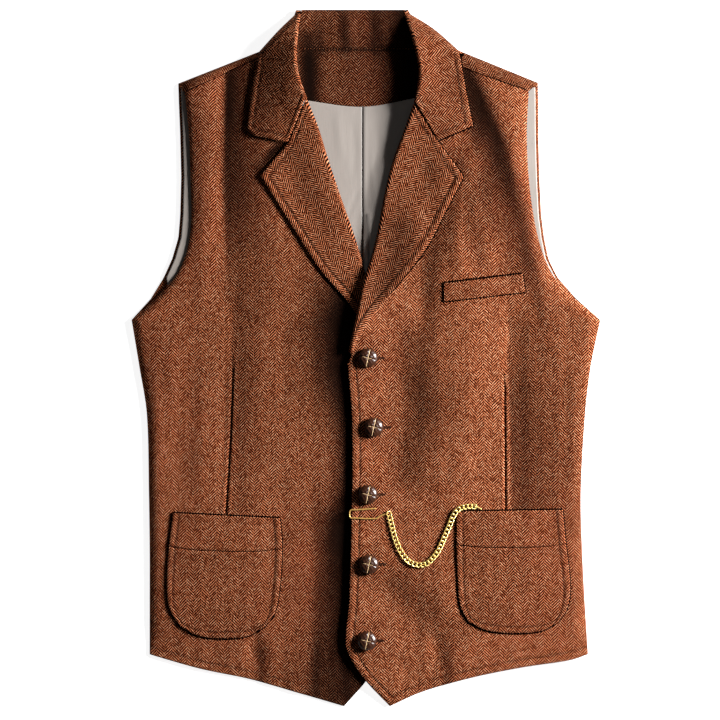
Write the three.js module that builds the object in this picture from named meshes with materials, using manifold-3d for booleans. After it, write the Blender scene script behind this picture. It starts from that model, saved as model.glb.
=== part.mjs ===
// A single-breasted suit waistcoat with notched lapels, buttoned and laid flat on its back.
// Millimetres: X to the right of the view, Y up the garment to the collar, Z up from the table.
// "Left" and "right" are as seen from above. The right front laps over the left one.

import * as THREE from "three";
import { mergeVertices } from "three/addons/utils/BufferGeometryUtils.js";
import Module from "manifold-3d";

const wasm = await Module();
wasm.setup();

// Driving sizes
const GAP = 0.3; // between pieces at a seam
const BACK_WALL = 1.8;
const LINING_WALL = 1.0;
const FRONT_WALL = 1.8; // tweed and its interlining
const PATCH_WALL = 1.6; // pockets and welt
const CENTRE_SEAM = -3.7; // where the back's and the lining's centre seams lie
const COLLAR_TOP = 365.5; // the collar's fold behind the neck
const HEM_POINT = -365.5; // the tips of the two fronts
const BACK_HEM = -318;
const NECK_SEAM = 324; // where the collar joins the back
const UNDERARM = 40;
const BREAK = 0; // where the lapels start to roll
const GORGE = { left: 270, right: 266 }; // where the collar meets the lapel at the roll line
const SIDE_ROUNDING = 16; // how far in from the side fold the front curves up
const ROLL_INSET = 3.3; // the front stops this far short of its roll line, where the lapel folds back
const ROLL_HEIGHT = 3.9; // of the lapel's fold above the front
const COLLAR_LIFT = 2.9; // of the collar's outer edge above what it lies on
const COLLAR_CROWN = 3.4; // how much higher the collar stands at its roll line
const STAND_FOOT = 4.4; // height of the stand's lower edge at the sides of the neck
const BUTTON_RADIUS = 10.25;
const CHAIN_RADIUS = 1.6;
const WIRE_RADIUS = 0.8;

const clamp = (value, low, high) => Math.min(Math.max(value, low), high);
const mix = (from, to, share) => from + (to - from) * share;
const smooth = (share) => {
  const t = clamp(share, 0, 1);
  return t * t * (3 - 2 * t);
};
const bell = (distance, width) => Math.exp(-((distance / width) ** 2));
// Rises as a quarter of an ellipse from 0 at an edge to 1 at the given width.
const rounding = (distance, width) => {
  const t = 1 - clamp(distance / width, 0, 1);
  return Math.sqrt(1 - t * t);
};
const table = (columns, rows) => {
  const names = columns.split(" ");
  return rows.map((row) => Object.fromEntries(names.map((name, k) => [name, row[k]])));
};

// A table's column at a place along its key column, on a smooth curve through the rows.
function read(rows, key, column, place) {
  const last = rows.length - 1;
  let k = 0;
  while (k < last - 1 && place > rows[k + 1][key]) k += 1;
  const slope = (at) => {
    const before = rows[Math.max(at - 1, 0)];
    const after = rows[Math.min(at + 1, last)];
    return (after[column] - before[column]) / (after[key] - before[key]);
  };
  const span = rows[k + 1][key] - rows[k][key];
  const t = clamp((place - rows[k][key]) / span, 0, 1);
  const rise = t * t * (3 - 2 * t);
  const bends = slope(k) * t * (1 - t) ** 2 - slope(k + 1) * t * t * (1 - t);
  return mix(rows[k][column], rows[k + 1][column], rise) + span * bends;
}

// The same, on straight lines from row to row.
function readStraight(rows, key, column, place) {
  let k = 0;
  while (k < rows.length - 2 && place > rows[k + 1][key]) k += 1;
  const share = (place - rows[k][key]) / (rows[k + 1][key] - rows[k][key]);
  return mix(rows[k][column], rows[k + 1][column], clamp(share, 0, 1));
}

const smoothEdge = (rows) => (share) => ({
  x: read(rows, "at", "x", share),
  y: read(rows, "at", "y", share),
});
const straightEdge = (rows) => (share) => ({
  x: readStraight(rows, "at", "x", share),
  y: readStraight(rows, "at", "y", share),
});

// Side folds of the body, from the hem to the underarm
const SIDES = table("up left right", [
  [-311, -227, 233],
  [-254, -227, 229.5],
  [-205, -227, 227],
  [-143, -227.8, 225.5],
  [-59, -230, 230],
  [-8, -238, 236],
  [40, -246, 246],
]);

// Edges of the armholes, on the back and on the fronts, from the underarm to the shoulder
const ARMHOLES = table("up leftBack leftFront rightFront rightBack", [
  [40, -246, -246, 246, 246],
  [62, -226, -221, 219, 221],
  [84, -212.5, -201, 198, 201.5],
  [104, -203.5, -190.5, 187.5, 191.5],
  [126, -197, -185, 180.5, 187],
  [150, -195, -183, 175.5, 184],
  [190, -194, -184, 170.5, 182],
  [234, -195, -185.5, 168.5, 181],
  [270, -196.5, -189, 170, 180.8],
  [289, -197, -191, 172, 180.5],
]);

// Inner edges of the fronts below the break. The left one is hidden under the right one.
const CLOSING = table("up left right", [
  [-365.5, -23, 25],
  [-339, 0, 0],
  [-318, 13, -14.5],
  [-300, 18, -21.5],
  [-254, 19, -18],
  [-149, 19, -15],
  [-65, 19, -15],
  [-23, 18, -18],
  [0, 15, -20],
]);

// Roll lines of the lapels and the collar, from the break to the top of the collar
const ROLL = table("up left right", [
  [0, 15, -20],
  [40, 9, -11.5],
  [80, 1.5, -3],
  [110, -6.5, 6.5],
  [140, -16, 13.5],
  [168, -26, 18.5],
  [205, -38.5, 27.5],
  [242, -50, 41],
  [270, -61, 50.5],
  [297, -70, 55],
  [313, -72, 53],
  [336, -71, 47.5],
  [363, -68, 39],
]);

// Hems of the fronts, from the side to the tip
const HEMS = {
  left: table("x y", [
    [-227, -311],
    [-174, -326],
    [-122, -337],
    [-69, -352],
    [-23, HEM_POINT],
  ]),
  right: table("x y", [
    [25, HEM_POINT],
    [57, -351],
    [109, -336],
    [162, -325],
    [214, -317],
    [233, -311],
  ]),
};

// Shoulders: the fold at the top edge, and the seam that lies on the front
const SHOULDERS = {
  left: {
    tip: { x: -197, y: 288 },
    neck: { x: -111, y: 322 },
    seamTip: { x: -190.5, y: 278 },
    seamNeck: { x: -112, y: 315 },
    wrapEnd: { x: -117, y: 319.6 },
  },
  right: {
    tip: { x: 180.5, y: 289 },
    neck: { x: 97, y: 323 },
    seamTip: { x: 170.5, y: 279.5 },
    seamNeck: { x: 96, y: 305.5 },
    wrapEnd: { x: 103, y: 320.5 },
  },
};
const SHOULDER_ROUNDING = 12.5;

// Heights of the outside of the fronts: out on the panel, and at its inner edge on each side
const LOFT = table("up panel left right", [
  [-365.5, 3.4, 2.6, 3.6],
  [-340, 4.6, 3.9, 6.6],
  [-318, 6.2, 4.6, 7.6],
  [-280, 7.4, 5.4, 8.5],
  [-200, 7.8, 5.5, 8.8],
  [0, 8.4, 5.5, 9.4],
  [40, 9.2, 5.5, 12],
  [90, 9.8, 5.9, 12.6],
  [112, 10, 7.6, 12.2],
  [150, 10.4, 10.2, 12.6],
  [200, 10.8, 12.6, 13.8],
  [262, 11.2, 16, 16],
  [320, 12, 17.5, 17.5],
]);
const HEM_HEIGHT = 4.3;
const HEM_FADE = 45; // how far up from the hem the front sinks towards it
const EDGE_REACH = 32; // how far in from its inner edge the front takes that edge's height
const OVERLAP_START = -26; // the left front lies low from here, under the right one
const ARMHOLE_EDGE_HEIGHT = 6.3;

// The largest folds of the fronts: a line of three points, the half width and the height.
const FOLDS = {
  left: table("x1 y1 x2 y2 x3 y3 width height", [
    [-141, 300, -143, 180, -140, 50, 11, -3.0],
    [-169, 285, -165, 160, -172, 60, 9, 1.4],
    [-115, 296, -116, 170, -114, 60, 10, 1.6],
    [-56, 95, -46, 20, -40, -60, 13, -2.0],
    [-105, -292, -104, -318, -106, -350, 10, -1.6],
    [-53, -300, -54, -325, -52, -356, 9, -1.4],
    [-190, 20, -188, -60, -196, -140, 16, -1.4],
  ]),
  right: table("x1 y1 x2 y2 x3 y3 width height", [
    [101, 310, 138, 212, 166, 55, 10.5, -3.0],
    [76, 268, 112, 190, 140, 95, 11, 1.6],
    [88, 165, 77, 95, 66, 30, 12, -1.6],
    [178, 25, 174, -90, 170, -205, 17, -1.8],
    [118, 40, 120, -40, 112, -130, 18, 1.6],
    [60, -20, 48, -60, 34, -110, 14, -1.2],
    [77, -300, 78, -320, 77, -346, 9, -1.6],
  ]),
};

// Distance from a point to a fold's line, and the share along it.
function nearLine(fold, x, y) {
  const runs = [
    [fold.x1, fold.y1, fold.x2, fold.y2, 0],
    [fold.x2, fold.y2, fold.x3, fold.y3, 1],
  ];
  return runs.reduce(
    (best, [ax, ay, bx, by, start]) => {
      const lengthSquared = (bx - ax) ** 2 + (by - ay) ** 2;
      const share = clamp(((x - ax) * (bx - ax) + (y - ay) * (by - ay)) / lengthSquared, 0, 1);
      const distance = Math.hypot(x - mix(ax, bx, share), y - mix(ay, by, share));
      return distance < best.distance ? { distance, along: (start + share) / 2 } : best;
    },
    { distance: Infinity, along: 0 },
  );
}

function foldHeight(side, x, y) {
  return FOLDS[side].reduce((sum, fold) => {
    const { distance } = nearLine(fold, x, y);
    return sum + fold.height * bell(distance, fold.width);
  }, 0);
}

const outward = (side) => (side === "left" ? -1 : 1);
const hemAt = (side, x) => read(HEMS[side], "x", "y", x);

function sideAt(side, y) {
  if (y <= UNDERARM) return read(SIDES, "up", side, y);
  return read(ARMHOLES, "up", side + "Front", y);
}

function innerEdgeAt(side, y) {
  return y <= BREAK ? read(CLOSING, "up", side, y) : read(ROLL, "up", side, y);
}

// The roll line at a height, moved outward from the neck by a distance square to it.
function rollPoint(side, up, distance) {
  const reach = 2;
  const low = innerEdgeAt(side, Math.max(up - reach, BREAK + 0.1));
  const high = innerEdgeAt(side, up + reach);
  const along = new THREE.Vector2(high - low, up + reach - Math.max(up - reach, BREAK + 0.1));
  const out = new THREE.Vector2(along.y, -along.x).normalize().multiplyScalar(outward(side));
  return {
    x: innerEdgeAt(side, up) + distance * out.x,
    y: up + distance * out.y,
  };
}

// How far a point lies in from a side's shoulder fold.
function fromShoulder(side, x, y) {
  const { tip, neck } = SHOULDERS[side];
  const length = Math.hypot(neck.x - tip.x, neck.y - tip.y);
  const across = ((neck.y - tip.y) * (x - tip.x) - (neck.x - tip.x) * (y - tip.y)) / length;
  return side === "left" ? across : -across;
}

// Height of the outside of a front, without the rounding at its shoulder.
function frontLoft(side, x, y) {
  const fromSide = Math.max(outward(side) * (sideAt(side, y) - x), 0);
  const inner = side === "left" && y < 90 ? OVERLAP_START : innerEdgeAt(side, y);
  const fromInner = Math.max(outward(side) * (x - inner), 0);
  const aboveHem = y - hemAt(side, x);
  const hem = HEM_HEIGHT - 1.4 * smooth((BACK_HEM - y) / 40);
  const panel = mix(hem, read(LOFT, "up", "panel", y), smooth(aboveHem / HEM_FADE));
  const edge = read(LOFT, "up", side, y);
  const folded = mix(panel, edge, bell(fromInner, EDGE_REACH)) + foldHeight(side, x, y);
  const lowest = mix(2.6, 4.1, smooth((y + 350) / 30)) + 1.4 * smooth((y + 40) / 25);
  const plateau = Math.max(folded, lowest);
  const foot = mix(BACK_WALL + GAP, ARMHOLE_EDGE_HEIGHT, smooth((y - UNDERARM) / 60));
  return foot + (plateau - foot) * rounding(fromSide, SIDE_ROUNDING);
}

function surfaceHeight(side, x, y) {
  const inside = rounding(fromShoulder(side, x, y), SHOULDER_ROUNDING);
  return 1 + (frontLoft(side, x, y) - 1) * inside;
}

function surfaceNormal(side, { x, y }) {
  const reach = 0.5;
  const slopeX = surfaceHeight(side, x + reach, y) - surfaceHeight(side, x - reach, y);
  const slopeY = surfaceHeight(side, x, y + reach) - surfaceHeight(side, x, y - reach);
  return new THREE.Vector3(-slopeX, -slopeY, 2 * reach);
}

// The top of the back and its seam gap, and just the table below the back's hem
const overBack = ({ y }) => (y > BACK_HEM - 1 ? BACK_WALL + GAP : 0.3);

// A wall of cloth over a grid of outer points. Each point is doubled one thickness inwards, along the
// surface's own normal, and the rim is closed all round. Where level says so, the rim lies level.
// The inside never sinks below the height that floor gives, which is the top of what lies under it.
function clothWall(grid, thickness, { level = () => false, normalAt, floor = () => 0 } = {}) {
  const rows = grid.length;
  const columns = grid[0].length;
  const at = (j, i) => grid[clamp(j, 0, rows - 1)][clamp(i, 0, columns - 1)];
  const outer = [];
  const inner = [];
  for (let j = 0; j < rows; j += 1) {
    for (let i = 0; i < columns; i += 1) {
      const across = new THREE.Vector3().subVectors(at(j, i + 1), at(j, i - 1));
      const along = new THREE.Vector3().subVectors(at(j + 1, i), at(j - 1, i));
      const normal = normalAt?.(at(j, i)) ?? new THREE.Vector3().crossVectors(across, along);
      if (level(j, i)) normal.setZ(0);
      const under = at(j, i).clone().addScaledVector(normal.normalize(), -thickness);
      outer.push(at(j, i).clone());
      inner.push(under.setZ(Math.max(under.z, floor(under))));
    }
  }
  const count = rows * columns;
  const place = (j, i) => j * columns + i;
  const triangles = [];
  const quad = (a, b, c, d) => triangles.push(a, b, c, a, c, d);
  for (let j = 0; j < rows - 1; j += 1) {
    for (let i = 0; i < columns - 1; i += 1) {
      const corners = [place(j, i), place(j, i + 1), place(j + 1, i + 1), place(j + 1, i)];
      const [a, b, c, d] = corners;
      quad(a, b, c, d);
      triangles.push(count + a, count + c, count + b, count + a, count + d, count + c);
    }
  }
  const rim = [];
  for (let i = 0; i < columns - 1; i += 1) rim.push(place(0, i));
  for (let j = 0; j < rows - 1; j += 1) rim.push(place(j, columns - 1));
  for (let i = columns - 1; i > 0; i -= 1) rim.push(place(rows - 1, i));
  for (let j = rows - 1; j > 0; j -= 1) rim.push(place(j, 0));
  rim.forEach((a, k) => {
    const b = rim[(k + 1) % rim.length];
    quad(b, a, count + a, count + b);
  });
  const geometry = new THREE.BufferGeometry().setFromPoints([...outer, ...inner]);
  geometry.setIndex(triangles);
  geometry.computeVertexNormals();
  return geometry;
}

// Height of the faceted outside of a panel over a point, so that what lies on it stays clear of it.
function heightOn(grid, x, y) {
  for (let j = 0; j < grid.length - 1; j += 1) {
    for (let i = 0; i < grid[0].length - 1; i += 1) {
      const [a, b, c, d] = [grid[j][i], grid[j][i + 1], grid[j + 1][i + 1], grid[j + 1][i]];
      for (const [p, q, r] of [
        [a, b, c],
        [a, c, d],
      ]) {
        const area = (q.x - p.x) * (r.y - p.y) - (r.x - p.x) * (q.y - p.y);
        const second = ((x - p.x) * (r.y - p.y) - (r.x - p.x) * (y - p.y)) / area;
        const third = ((q.x - p.x) * (y - p.y) - (x - p.x) * (q.y - p.y)) / area;
        if (second >= -1e-6 && third >= -1e-6 && second + third <= 1 + 1e-6) {
          return p.z + second * (q.z - p.z) + third * (r.z - p.z);
        }
      }
    }
  }
  return undefined;
}

// A point inside four edges: start and end run up the patch, bottom and top run across it.
function patchPoint(start, end, bottom, top, u, v) {
  const blend = (axis) => {
    const ruled = mix(start(v)[axis], end(v)[axis], u) + mix(bottom(u)[axis], top(u)[axis], v);
    const low = mix(bottom(0)[axis], bottom(1)[axis], u);
    const high = mix(top(0)[axis], top(1)[axis], u);
    return ruled - mix(low, high, v);
  };
  return { x: blend("x"), y: blend("y") };
}

// A grid of points over a patch, oriented so that its outside faces up.
function patchGrid(edges, across, up, heightAt, mirrored = false) {
  const { start, end, bottom, top } = edges;
  return up.map((v) => {
    const row = across.map((u) => {
      const { x, y } = patchPoint(start, end, bottom, top, u, v);
      return new THREE.Vector3(x, y, heightAt(x, y, u, v));
    });
    return mirrored ? row.reverse() : row;
  });
}

const steps = (count) => Array.from({ length: count + 1 }, (_, k) => k / count);

// Turns a geometry into a solid that can be joined.
function solidOf(geometry) {
  const bare = geometry.clone();
  bare.deleteAttribute("normal");
  bare.deleteAttribute("uv");
  const merged = mergeVertices(bare, 1e-4);
  return new wasm.Manifold(
    new wasm.Mesh({
      numProp: 3,
      vertProperties: new Float32Array(merged.attributes.position.array),
      triVerts: new Uint32Array(merged.index.array),
    }),
  );
}

function joined(first, second) {
  const { vertProperties, triVerts } = solidOf(first).add(solidOf(second)).getMesh();
  const geometry = new THREE.BufferGeometry();
  geometry.setAttribute("position", new THREE.BufferAttribute(vertProperties, 3));
  geometry.setIndex(new THREE.BufferAttribute(triVerts, 1));
  geometry.computeVertexNormals();
  return geometry;
}

const plate = (points, thickness) =>
  new THREE.ExtrudeGeometry(new THREE.Shape(points.map(({ x, y }) => new THREE.Vector2(x, y))), {
    depth: thickness,
    bevelEnabled: false,
  });

// Finishes
const finish = (color, roughness, metalness = 0) =>
  new THREE.MeshStandardMaterial({ color, roughness, metalness });
const FINISHES = {
  tweed: finish(0x965334, 0.92),
  lining: finish(0xc8c0b8, 0.6),
  leather: finish(0x2e140c, 0.4),
  gold: finish(0xd9bd5a, 0.28, 1),
};

const waistcoat = new THREE.Group();
function place(name, geometry, material) {
  const mesh = new THREE.Mesh(geometry, material);
  mesh.name = name;
  waistcoat.add(mesh);
}

// Fronts

// Sections of a front: heights at its side and at its inner edge. Above NECKLINE_FOOT the inner edge
// leaves the roll line and runs along the neckline, hidden by the collar.
const NECKLINE_FOOT = 258;
const NECKLINE_HEAD = 318;
const SECTIONS = table("side inner", [
  [-311, -365.5],
  [-298, -345],
  [-283, -322],
  [-262, -292],
  [-236, -250],
  [-208, -210],
  [-178, -178],
  [-150, -150],
  [-120, -120],
  [-90, -90],
  [-60, -60],
  [-32, -32],
  [-7, -5],
  [6, 7],
  [22, 25],
  [40, 42],
  [52, 56],
  [66, 70],
  [84, 86],
  [104, 104],
  [126, 126],
  [150, 150],
  [174, 174],
  [198, 200],
  [220, 224],
  [240, 246],
  [255, 262],
  [267, 288],
  [278, 318],
]);
const FRONT_COLUMNS = [
  0, 0.01, 0.03, 0.065, 0.12, 0.19, 0.26, 0.33, 0.4, 0.47, 0.54, 0.61, 0.68, 0.75, 0.82, 0.89, 0.95, 1,
];

// The front's inner edge at a height, set back from the roll line above the break.
function innerPoint(side, up) {
  const inset = (ROLL_INSET + GAP) * smooth((up - BREAK + 8) / 10);
  if (up <= BREAK) return { x: innerEdgeAt(side, up) + inset * outward(side), y: up };
  const onRoll = rollPoint(side, Math.min(up, NECKLINE_FOOT), inset);
  const share = clamp((up - NECKLINE_FOOT) / (NECKLINE_HEAD - NECKLINE_FOOT), 0, 1);
  const { seamNeck } = SHOULDERS[side];
  return { x: mix(onRoll.x, seamNeck.x, share), y: mix(onRoll.y, seamNeck.y - GAP, share) };
}

function frontGrid(side) {
  const last = SECTIONS.length - 1;
  const section = (share) => SECTIONS[Math.round(share * last)];
  const { seamTip, seamNeck } = SHOULDERS[side];
  const hem = HEMS[side];
  const [hemSide, hemTip] = side === "left" ? [hem[0], hem.at(-1)] : [hem.at(-1), hem[0]];
  const edges = {
    start: (v) => {
      const up = section(v).side;
      return { x: v === 1 ? seamTip.x : sideAt(side, up), y: v === 1 ? seamTip.y - GAP : up };
    },
    end: (v) => innerPoint(side, section(v).inner),
    bottom: (u) => {
      const x = mix(hemSide.x, hemTip.x, u);
      return { x, y: hemAt(side, x) };
    },
    top: (u) => ({
      x: mix(seamTip.x, seamNeck.x, u),
      y: mix(seamTip.y, seamNeck.y, u) - GAP,
    }),
  };
  const height = (x, y) => surfaceHeight(side, x, y);
  return patchGrid(edges, FRONT_COLUMNS, steps(last), height, side === "right");
}

const FRONTS = { left: frontGrid("left"), right: frontGrid("right") };
const outsideOf = (side, x, y) => heightOn(FRONTS[side], x, y) ?? surfaceHeight(side, x, y);

function makeFront(side) {
  const sideColumn = side === "left" ? 0 : FRONT_COLUMNS.length - 1;
  const isSideSeam = (j, i) => i === sideColumn && SECTIONS[j].side <= UNDERARM;
  const wall = clothWall(FRONTS[side], FRONT_WALL, {
    level: isSideSeam,
    normalAt: (point) => surfaceNormal(side, point),
    floor: overBack,
  });
  place("front_" + side, wall, FINISHES.tweed);
}

// Lapels: each folds back from its front at the roll line and lies out to its edge.
const LAPELS = {
  left: {
    foot: 55,
    edge: table("at x y", [
      [0, -9, 44],
      [0.08, -17, 56],
      [0.35, -48, 92],
      [0.56, -69, 124],
      [1, -111, 191],
    ]),
    notch: { x: -82, y: 225 },
  },
  right: {
    foot: 6,
    edge: table("at x y", [
      [0, -11, 12],
      [0.16, 4, 40],
      [0.375, 31, 74],
      [0.6, 62, 113],
      [0.81, 83, 153],
      [1, 102, 190],
    ]),
    notch: { x: 75, y: 227 },
  },
};
const LAPEL_ROWS = 14;
const LAPEL_COLUMNS = [0, 0.14, 0.32, 0.5, 0.66, 0.84, 1];
const NOTCH_SHARE = 0.5; // of the way across the lapel's upper edge, where the gorge seam ends

// Section of the lapel's fold: distance in from the roll line, and height above the front's outside
const FOLD_SECTION = table("in height", [
  [2.7, -FRONT_WALL],
  [1.1, -1.2],
  [0.1, 0.7],
  [0.5, 2.4],
  [1.9, 3.5],
]);

function lapelEdges(side) {
  const { foot, edge, notch } = LAPELS[side];
  const head = GORGE[side] - GAP;
  const start = (v) => rollPoint(side, mix(foot, head, v), ROLL_INSET);
  const end = smoothEdge(edge);
  const upper = straightEdge([
    { at: 0, ...start(1) },
    { at: NOTCH_SHARE, ...notch },
    { at: 1, ...end(1) },
  ]);
  const lower = straightEdge([
    { at: 0, ...start(0) },
    { at: 1, ...end(0) },
  ]);
  return { start, end, bottom: lower, top: upper };
}

function makeLapel(side) {
  const { foot } = LAPELS[side];
  const edges = lapelEdges(side);
  const up = steps(LAPEL_ROWS);
  const face = patchGrid(edges, LAPEL_COLUMNS, up, (x, y, u) => {
    const laid = outsideOf(side, x, y);
    return laid + mix(ROLL_HEIGHT, FRONT_WALL + 1.1, smooth(u * 1.4));
  });
  const grid = face.map((row, j) => {
    const height = mix(foot, GORGE[side] - GAP, up[j]);
    const fold = FOLD_SECTION.map((step) => {
      const { x, y } = rollPoint(side, height, step.in);
      return new THREE.Vector3(x, y, surfaceHeight(side, row[0].x, row[0].y) + step.height);
    });
    const whole = [...fold, ...row];
    return side === "left" ? whole.reverse() : whole;
  });
  place("lapel_" + side, clothWall(grid, FRONT_WALL), FINISHES.tweed);
}

// Collar: at each side of the neck it stands up inside, folds over at the roll line and falls outside.
const COLLARS = {
  left: {
    edge: table("at x y", [
      [0, -125, 240],
      [0.5, -120, 281],
      [1, -112, 321.5],
    ]),
    lower: table("at x y", [
      [0.5, -82.2, 225.4],
      [0.86, -117, 232],
      [1, -125, 240],
    ]),
    crest: { x: -91, y: 344.5 },
  },
  right: {
    edge: table("at x y", [
      [0, 112, 243],
      [0.25, 108, 262],
      [0.65, 101, 300],
      [1, 97.5, 322.5],
    ]),
    lower: table("at x y", [
      [0.5, 75.2, 227.4],
      [1, 112, 243],
    ]),
    crest: { x: 71, y: 345.5 },
  },
};
const COLLAR_ROWS = [0, 0.16, 0.32, 0.48, 0.62, 0.74, 0.84, 0.91, 0.96, 0.985, 1];
const COLLAR_COLUMNS = [0, 0.12, 0.3, 0.5, 0.68, 0.86, 1];
const ROLL_HEAD = 363; // the top of each side's roll line
const CREST_ROUNDING = 15;
const CREST_STEP = 1; // the least height of the fold, at the crest

// Section of the collar's stand and fold: distance in from the roll line, and share of its height
const STAND_SECTION = table("in share", [
  [5.5, 0],
  [2.6, 0.36],
  [0.5, 0.7],
  [0.1, 0.87],
  [1.1, 0.965],
]);

function collarEdges(side) {
  const { edge, lower, crest } = COLLARS[side];
  const start = (v) => rollPoint(side, mix(GORGE[side] + GAP, ROLL_HEAD, v), ROLL_INSET);
  const end = smoothEdge(edge);
  const bottom = straightEdge([{ at: 0, ...start(0) }, ...lower]);
  const top = smoothEdge([
    { at: 0, ...start(1) },
    { at: 0.5, ...crest },
    { at: 1, ...end(1) },
  ]);
  return { start, end, bottom, top };
}

function fromCrest(side, x, y) {
  const { neck } = SHOULDERS[side];
  const head = { x: innerEdgeAt(side, ROLL_HEAD), y: ROLL_HEAD + 1 };
  const length = Math.hypot(head.x - neck.x, head.y - neck.y);
  const across = ((head.y - neck.y) * (x - neck.x) - (head.x - neck.x) * (y - neck.y)) / length;
  return Math.max(side === "left" ? across : -across, 0);
}

function collarHeight(side, x, y, u) {
  const foot = BACK_WALL + GAP;
  const free = frontLoft(side, x, y) + COLLAR_LIFT + COLLAR_CROWN * (1 - u) ** 1.5;
  const low = mix(1, 0.45, smooth((y - 325) / 40));
  const crowned = foot + (free * low - foot) * rounding(fromCrest(side, x, y), CREST_ROUNDING);
  const onShoulder = fromShoulder(side, x, y) > 0 ? outsideOf(side, x, y) + COLLAR_LIFT : 0;
  return Math.max(crowned, onShoulder);
}

function makeCollarSide(side) {
  const edges = collarEdges(side);
  const face = patchGrid(edges, COLLAR_COLUMNS, COLLAR_ROWS, (x, y, u, v) =>
    v === 1 ? BACK_WALL + GAP + CREST_STEP * (1 - u) : collarHeight(side, x, y, u),
  );
  const grid = face.map((row, j) => {
    const height = mix(GORGE[side] + GAP, ROLL_HEAD, COLLAR_ROWS[j]);
    const crown = row[0].z;
    const foot = Math.max(Math.min(STAND_FOOT, crown - CREST_STEP), BACK_WALL + GAP);
    const fold = STAND_SECTION.map((step) => {
      const { x, y } = rollPoint(side, height, step.in);
      return new THREE.Vector3(x, y, mix(foot, crown, step.share));
    });
    const whole = [...fold, ...row];
    return side === "left" ? whole.reverse() : whole;
  });
  const lastRow = COLLAR_ROWS.length - 1;
  const wall = clothWall(grid, FRONT_WALL, {
    level: (j) => j === lastRow,
    floor: () => BACK_WALL + GAP,
  });
  place("collar_" + side, wall, FINISHES.tweed);
}

// Behind the neck the stand rises from the neck seam to the fold, and the fall lies under it.
const STAND_ROWS = [NECK_SEAM + 0.5, 331, 338, 345, 352, 358, 362, 364.3, COLLAR_TOP - 0.1];
const STAND_COLUMNS = 14;
const STAND_WAVE = 0.7;

function makeCollarBack() {
  const grid = STAND_ROWS.map((y) =>
    steps(STAND_COLUMNS).map((u) => {
      const level = Math.min(y, ROLL_HEAD);
      const x = mix(innerEdgeAt("left", level) + GAP, innerEdgeAt("right", level) - GAP, u);
      const rise = (y - NECK_SEAM) / (COLLAR_TOP - NECK_SEAM);
      const wave = STAND_WAVE * Math.sin(u * 19) * Math.sin(Math.PI * rise);
      const ends = 2.6 * (bell(u, 0.12) + bell(1 - u, 0.12)) * (1 - rise);
      const crown = 4.3 + 4.9 * rise + wave + ends;
      const inside = y === STAND_ROWS.at(-1) ? 0 : rounding(COLLAR_TOP - y, 7);
      return new THREE.Vector3(x, y, 1 + (crown - 1) * inside);
    }),
  );
  const stand = clothWall(grid, FRONT_WALL, { level: (j) => j === STAND_ROWS.length - 1 });
  const fall = plate(
    [
      { x: -109.3, y: NECK_SEAM },
      { x: 95, y: NECK_SEAM },
      { x: 43, y: COLLAR_TOP - 2 },
      { x: 40, y: COLLAR_TOP },
      { x: -66, y: COLLAR_TOP },
      { x: -68.5, y: COLLAR_TOP - 2 },
    ],
    BACK_WALL,
  );
  place("collar_back", joined(stand, fall), FINISHES.tweed);
}

// Back: two halves, each with its strip over the shoulder
const WRAP_STEPS = [0, 0.3, 0.55, 0.75, 0.88, 0.96, 1];
const WRAP_COLUMNS = 6;

function backOutline(side) {
  const sides = steps(8).map((v) => {
    const y = mix(SIDES[0].up, UNDERARM, v);
    return { x: sideAt(side, y), y };
  });
  const armhole = ARMHOLES.slice(1, -1).map((row) => ({ x: row[side + "Back"], y: row.up }));
  const { tip, neck } = SHOULDERS[side];
  const middle = CENTRE_SEAM + (outward(side) * GAP) / 2;
  const outline = [...sides, ...armhole, tip, neck, { x: middle, y: NECK_SEAM - GAP }];
  return [...outline, { x: middle, y: BACK_HEM }];
}

function makeBack(side) {
  const { tip, seamTip, seamNeck, wrapEnd } = SHOULDERS[side];
  const edge = (from, to) => (share) => ({ x: mix(from.x, to.x, share), y: mix(from.y, to.y, share) });
  const inset = 0.15;
  const edges = {
    start: edge(seamTip, tip),
    end: edge(seamNeck, wrapEnd),
    bottom: edge(seamTip, seamNeck),
    top: edge(tip, wrapEnd),
  };
  const height = (x, y, u, v) => (v === 1 ? 1 : surfaceHeight(side, x, y));
  const grid = patchGrid(edges, steps(WRAP_COLUMNS), WRAP_STEPS, height, side === "right");
  grid.at(-1).forEach((point) => point.setY(point.y - inset));
  const wrap = clothWall(grid, BACK_WALL, {
    level: (j) => j === WRAP_STEPS.length - 1,
    normalAt: (point) => (point.z > 4 ? surfaceNormal(side, point) : undefined),
  });
  const half = plate(backOutline(side), BACK_WALL);
  place("back_" + side, joined(half, wrap), FINISHES.tweed);
}

// Lining: the back lining inside the neck and the armholes, and the tweed facing above it
const LINING_TOP = BACK_WALL + GAP + LINING_WALL;
const FACING_EDGE = table("x y", [
  [-66, 271],
  [CENTRE_SEAM, 264],
  [56, 274],
]);
const facingEdgeAt = (x) => ({ x, y: read(FACING_EDGE, "x", "y", x) });
const FACING_GAP = 0.4;
const CORNER_SHARE = 0.67; // of the way across the lining's top, where it meets the facing's corner
const LINING_FOOT = -12;
const LINING_EDGE_SETBACK = 3;
const PLEAT = table("x1 y1 x2 y2 x3 y3 width height", [[1, 150, 2.5, 118, 4, 84, 5, 0.9]])[0];

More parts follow.
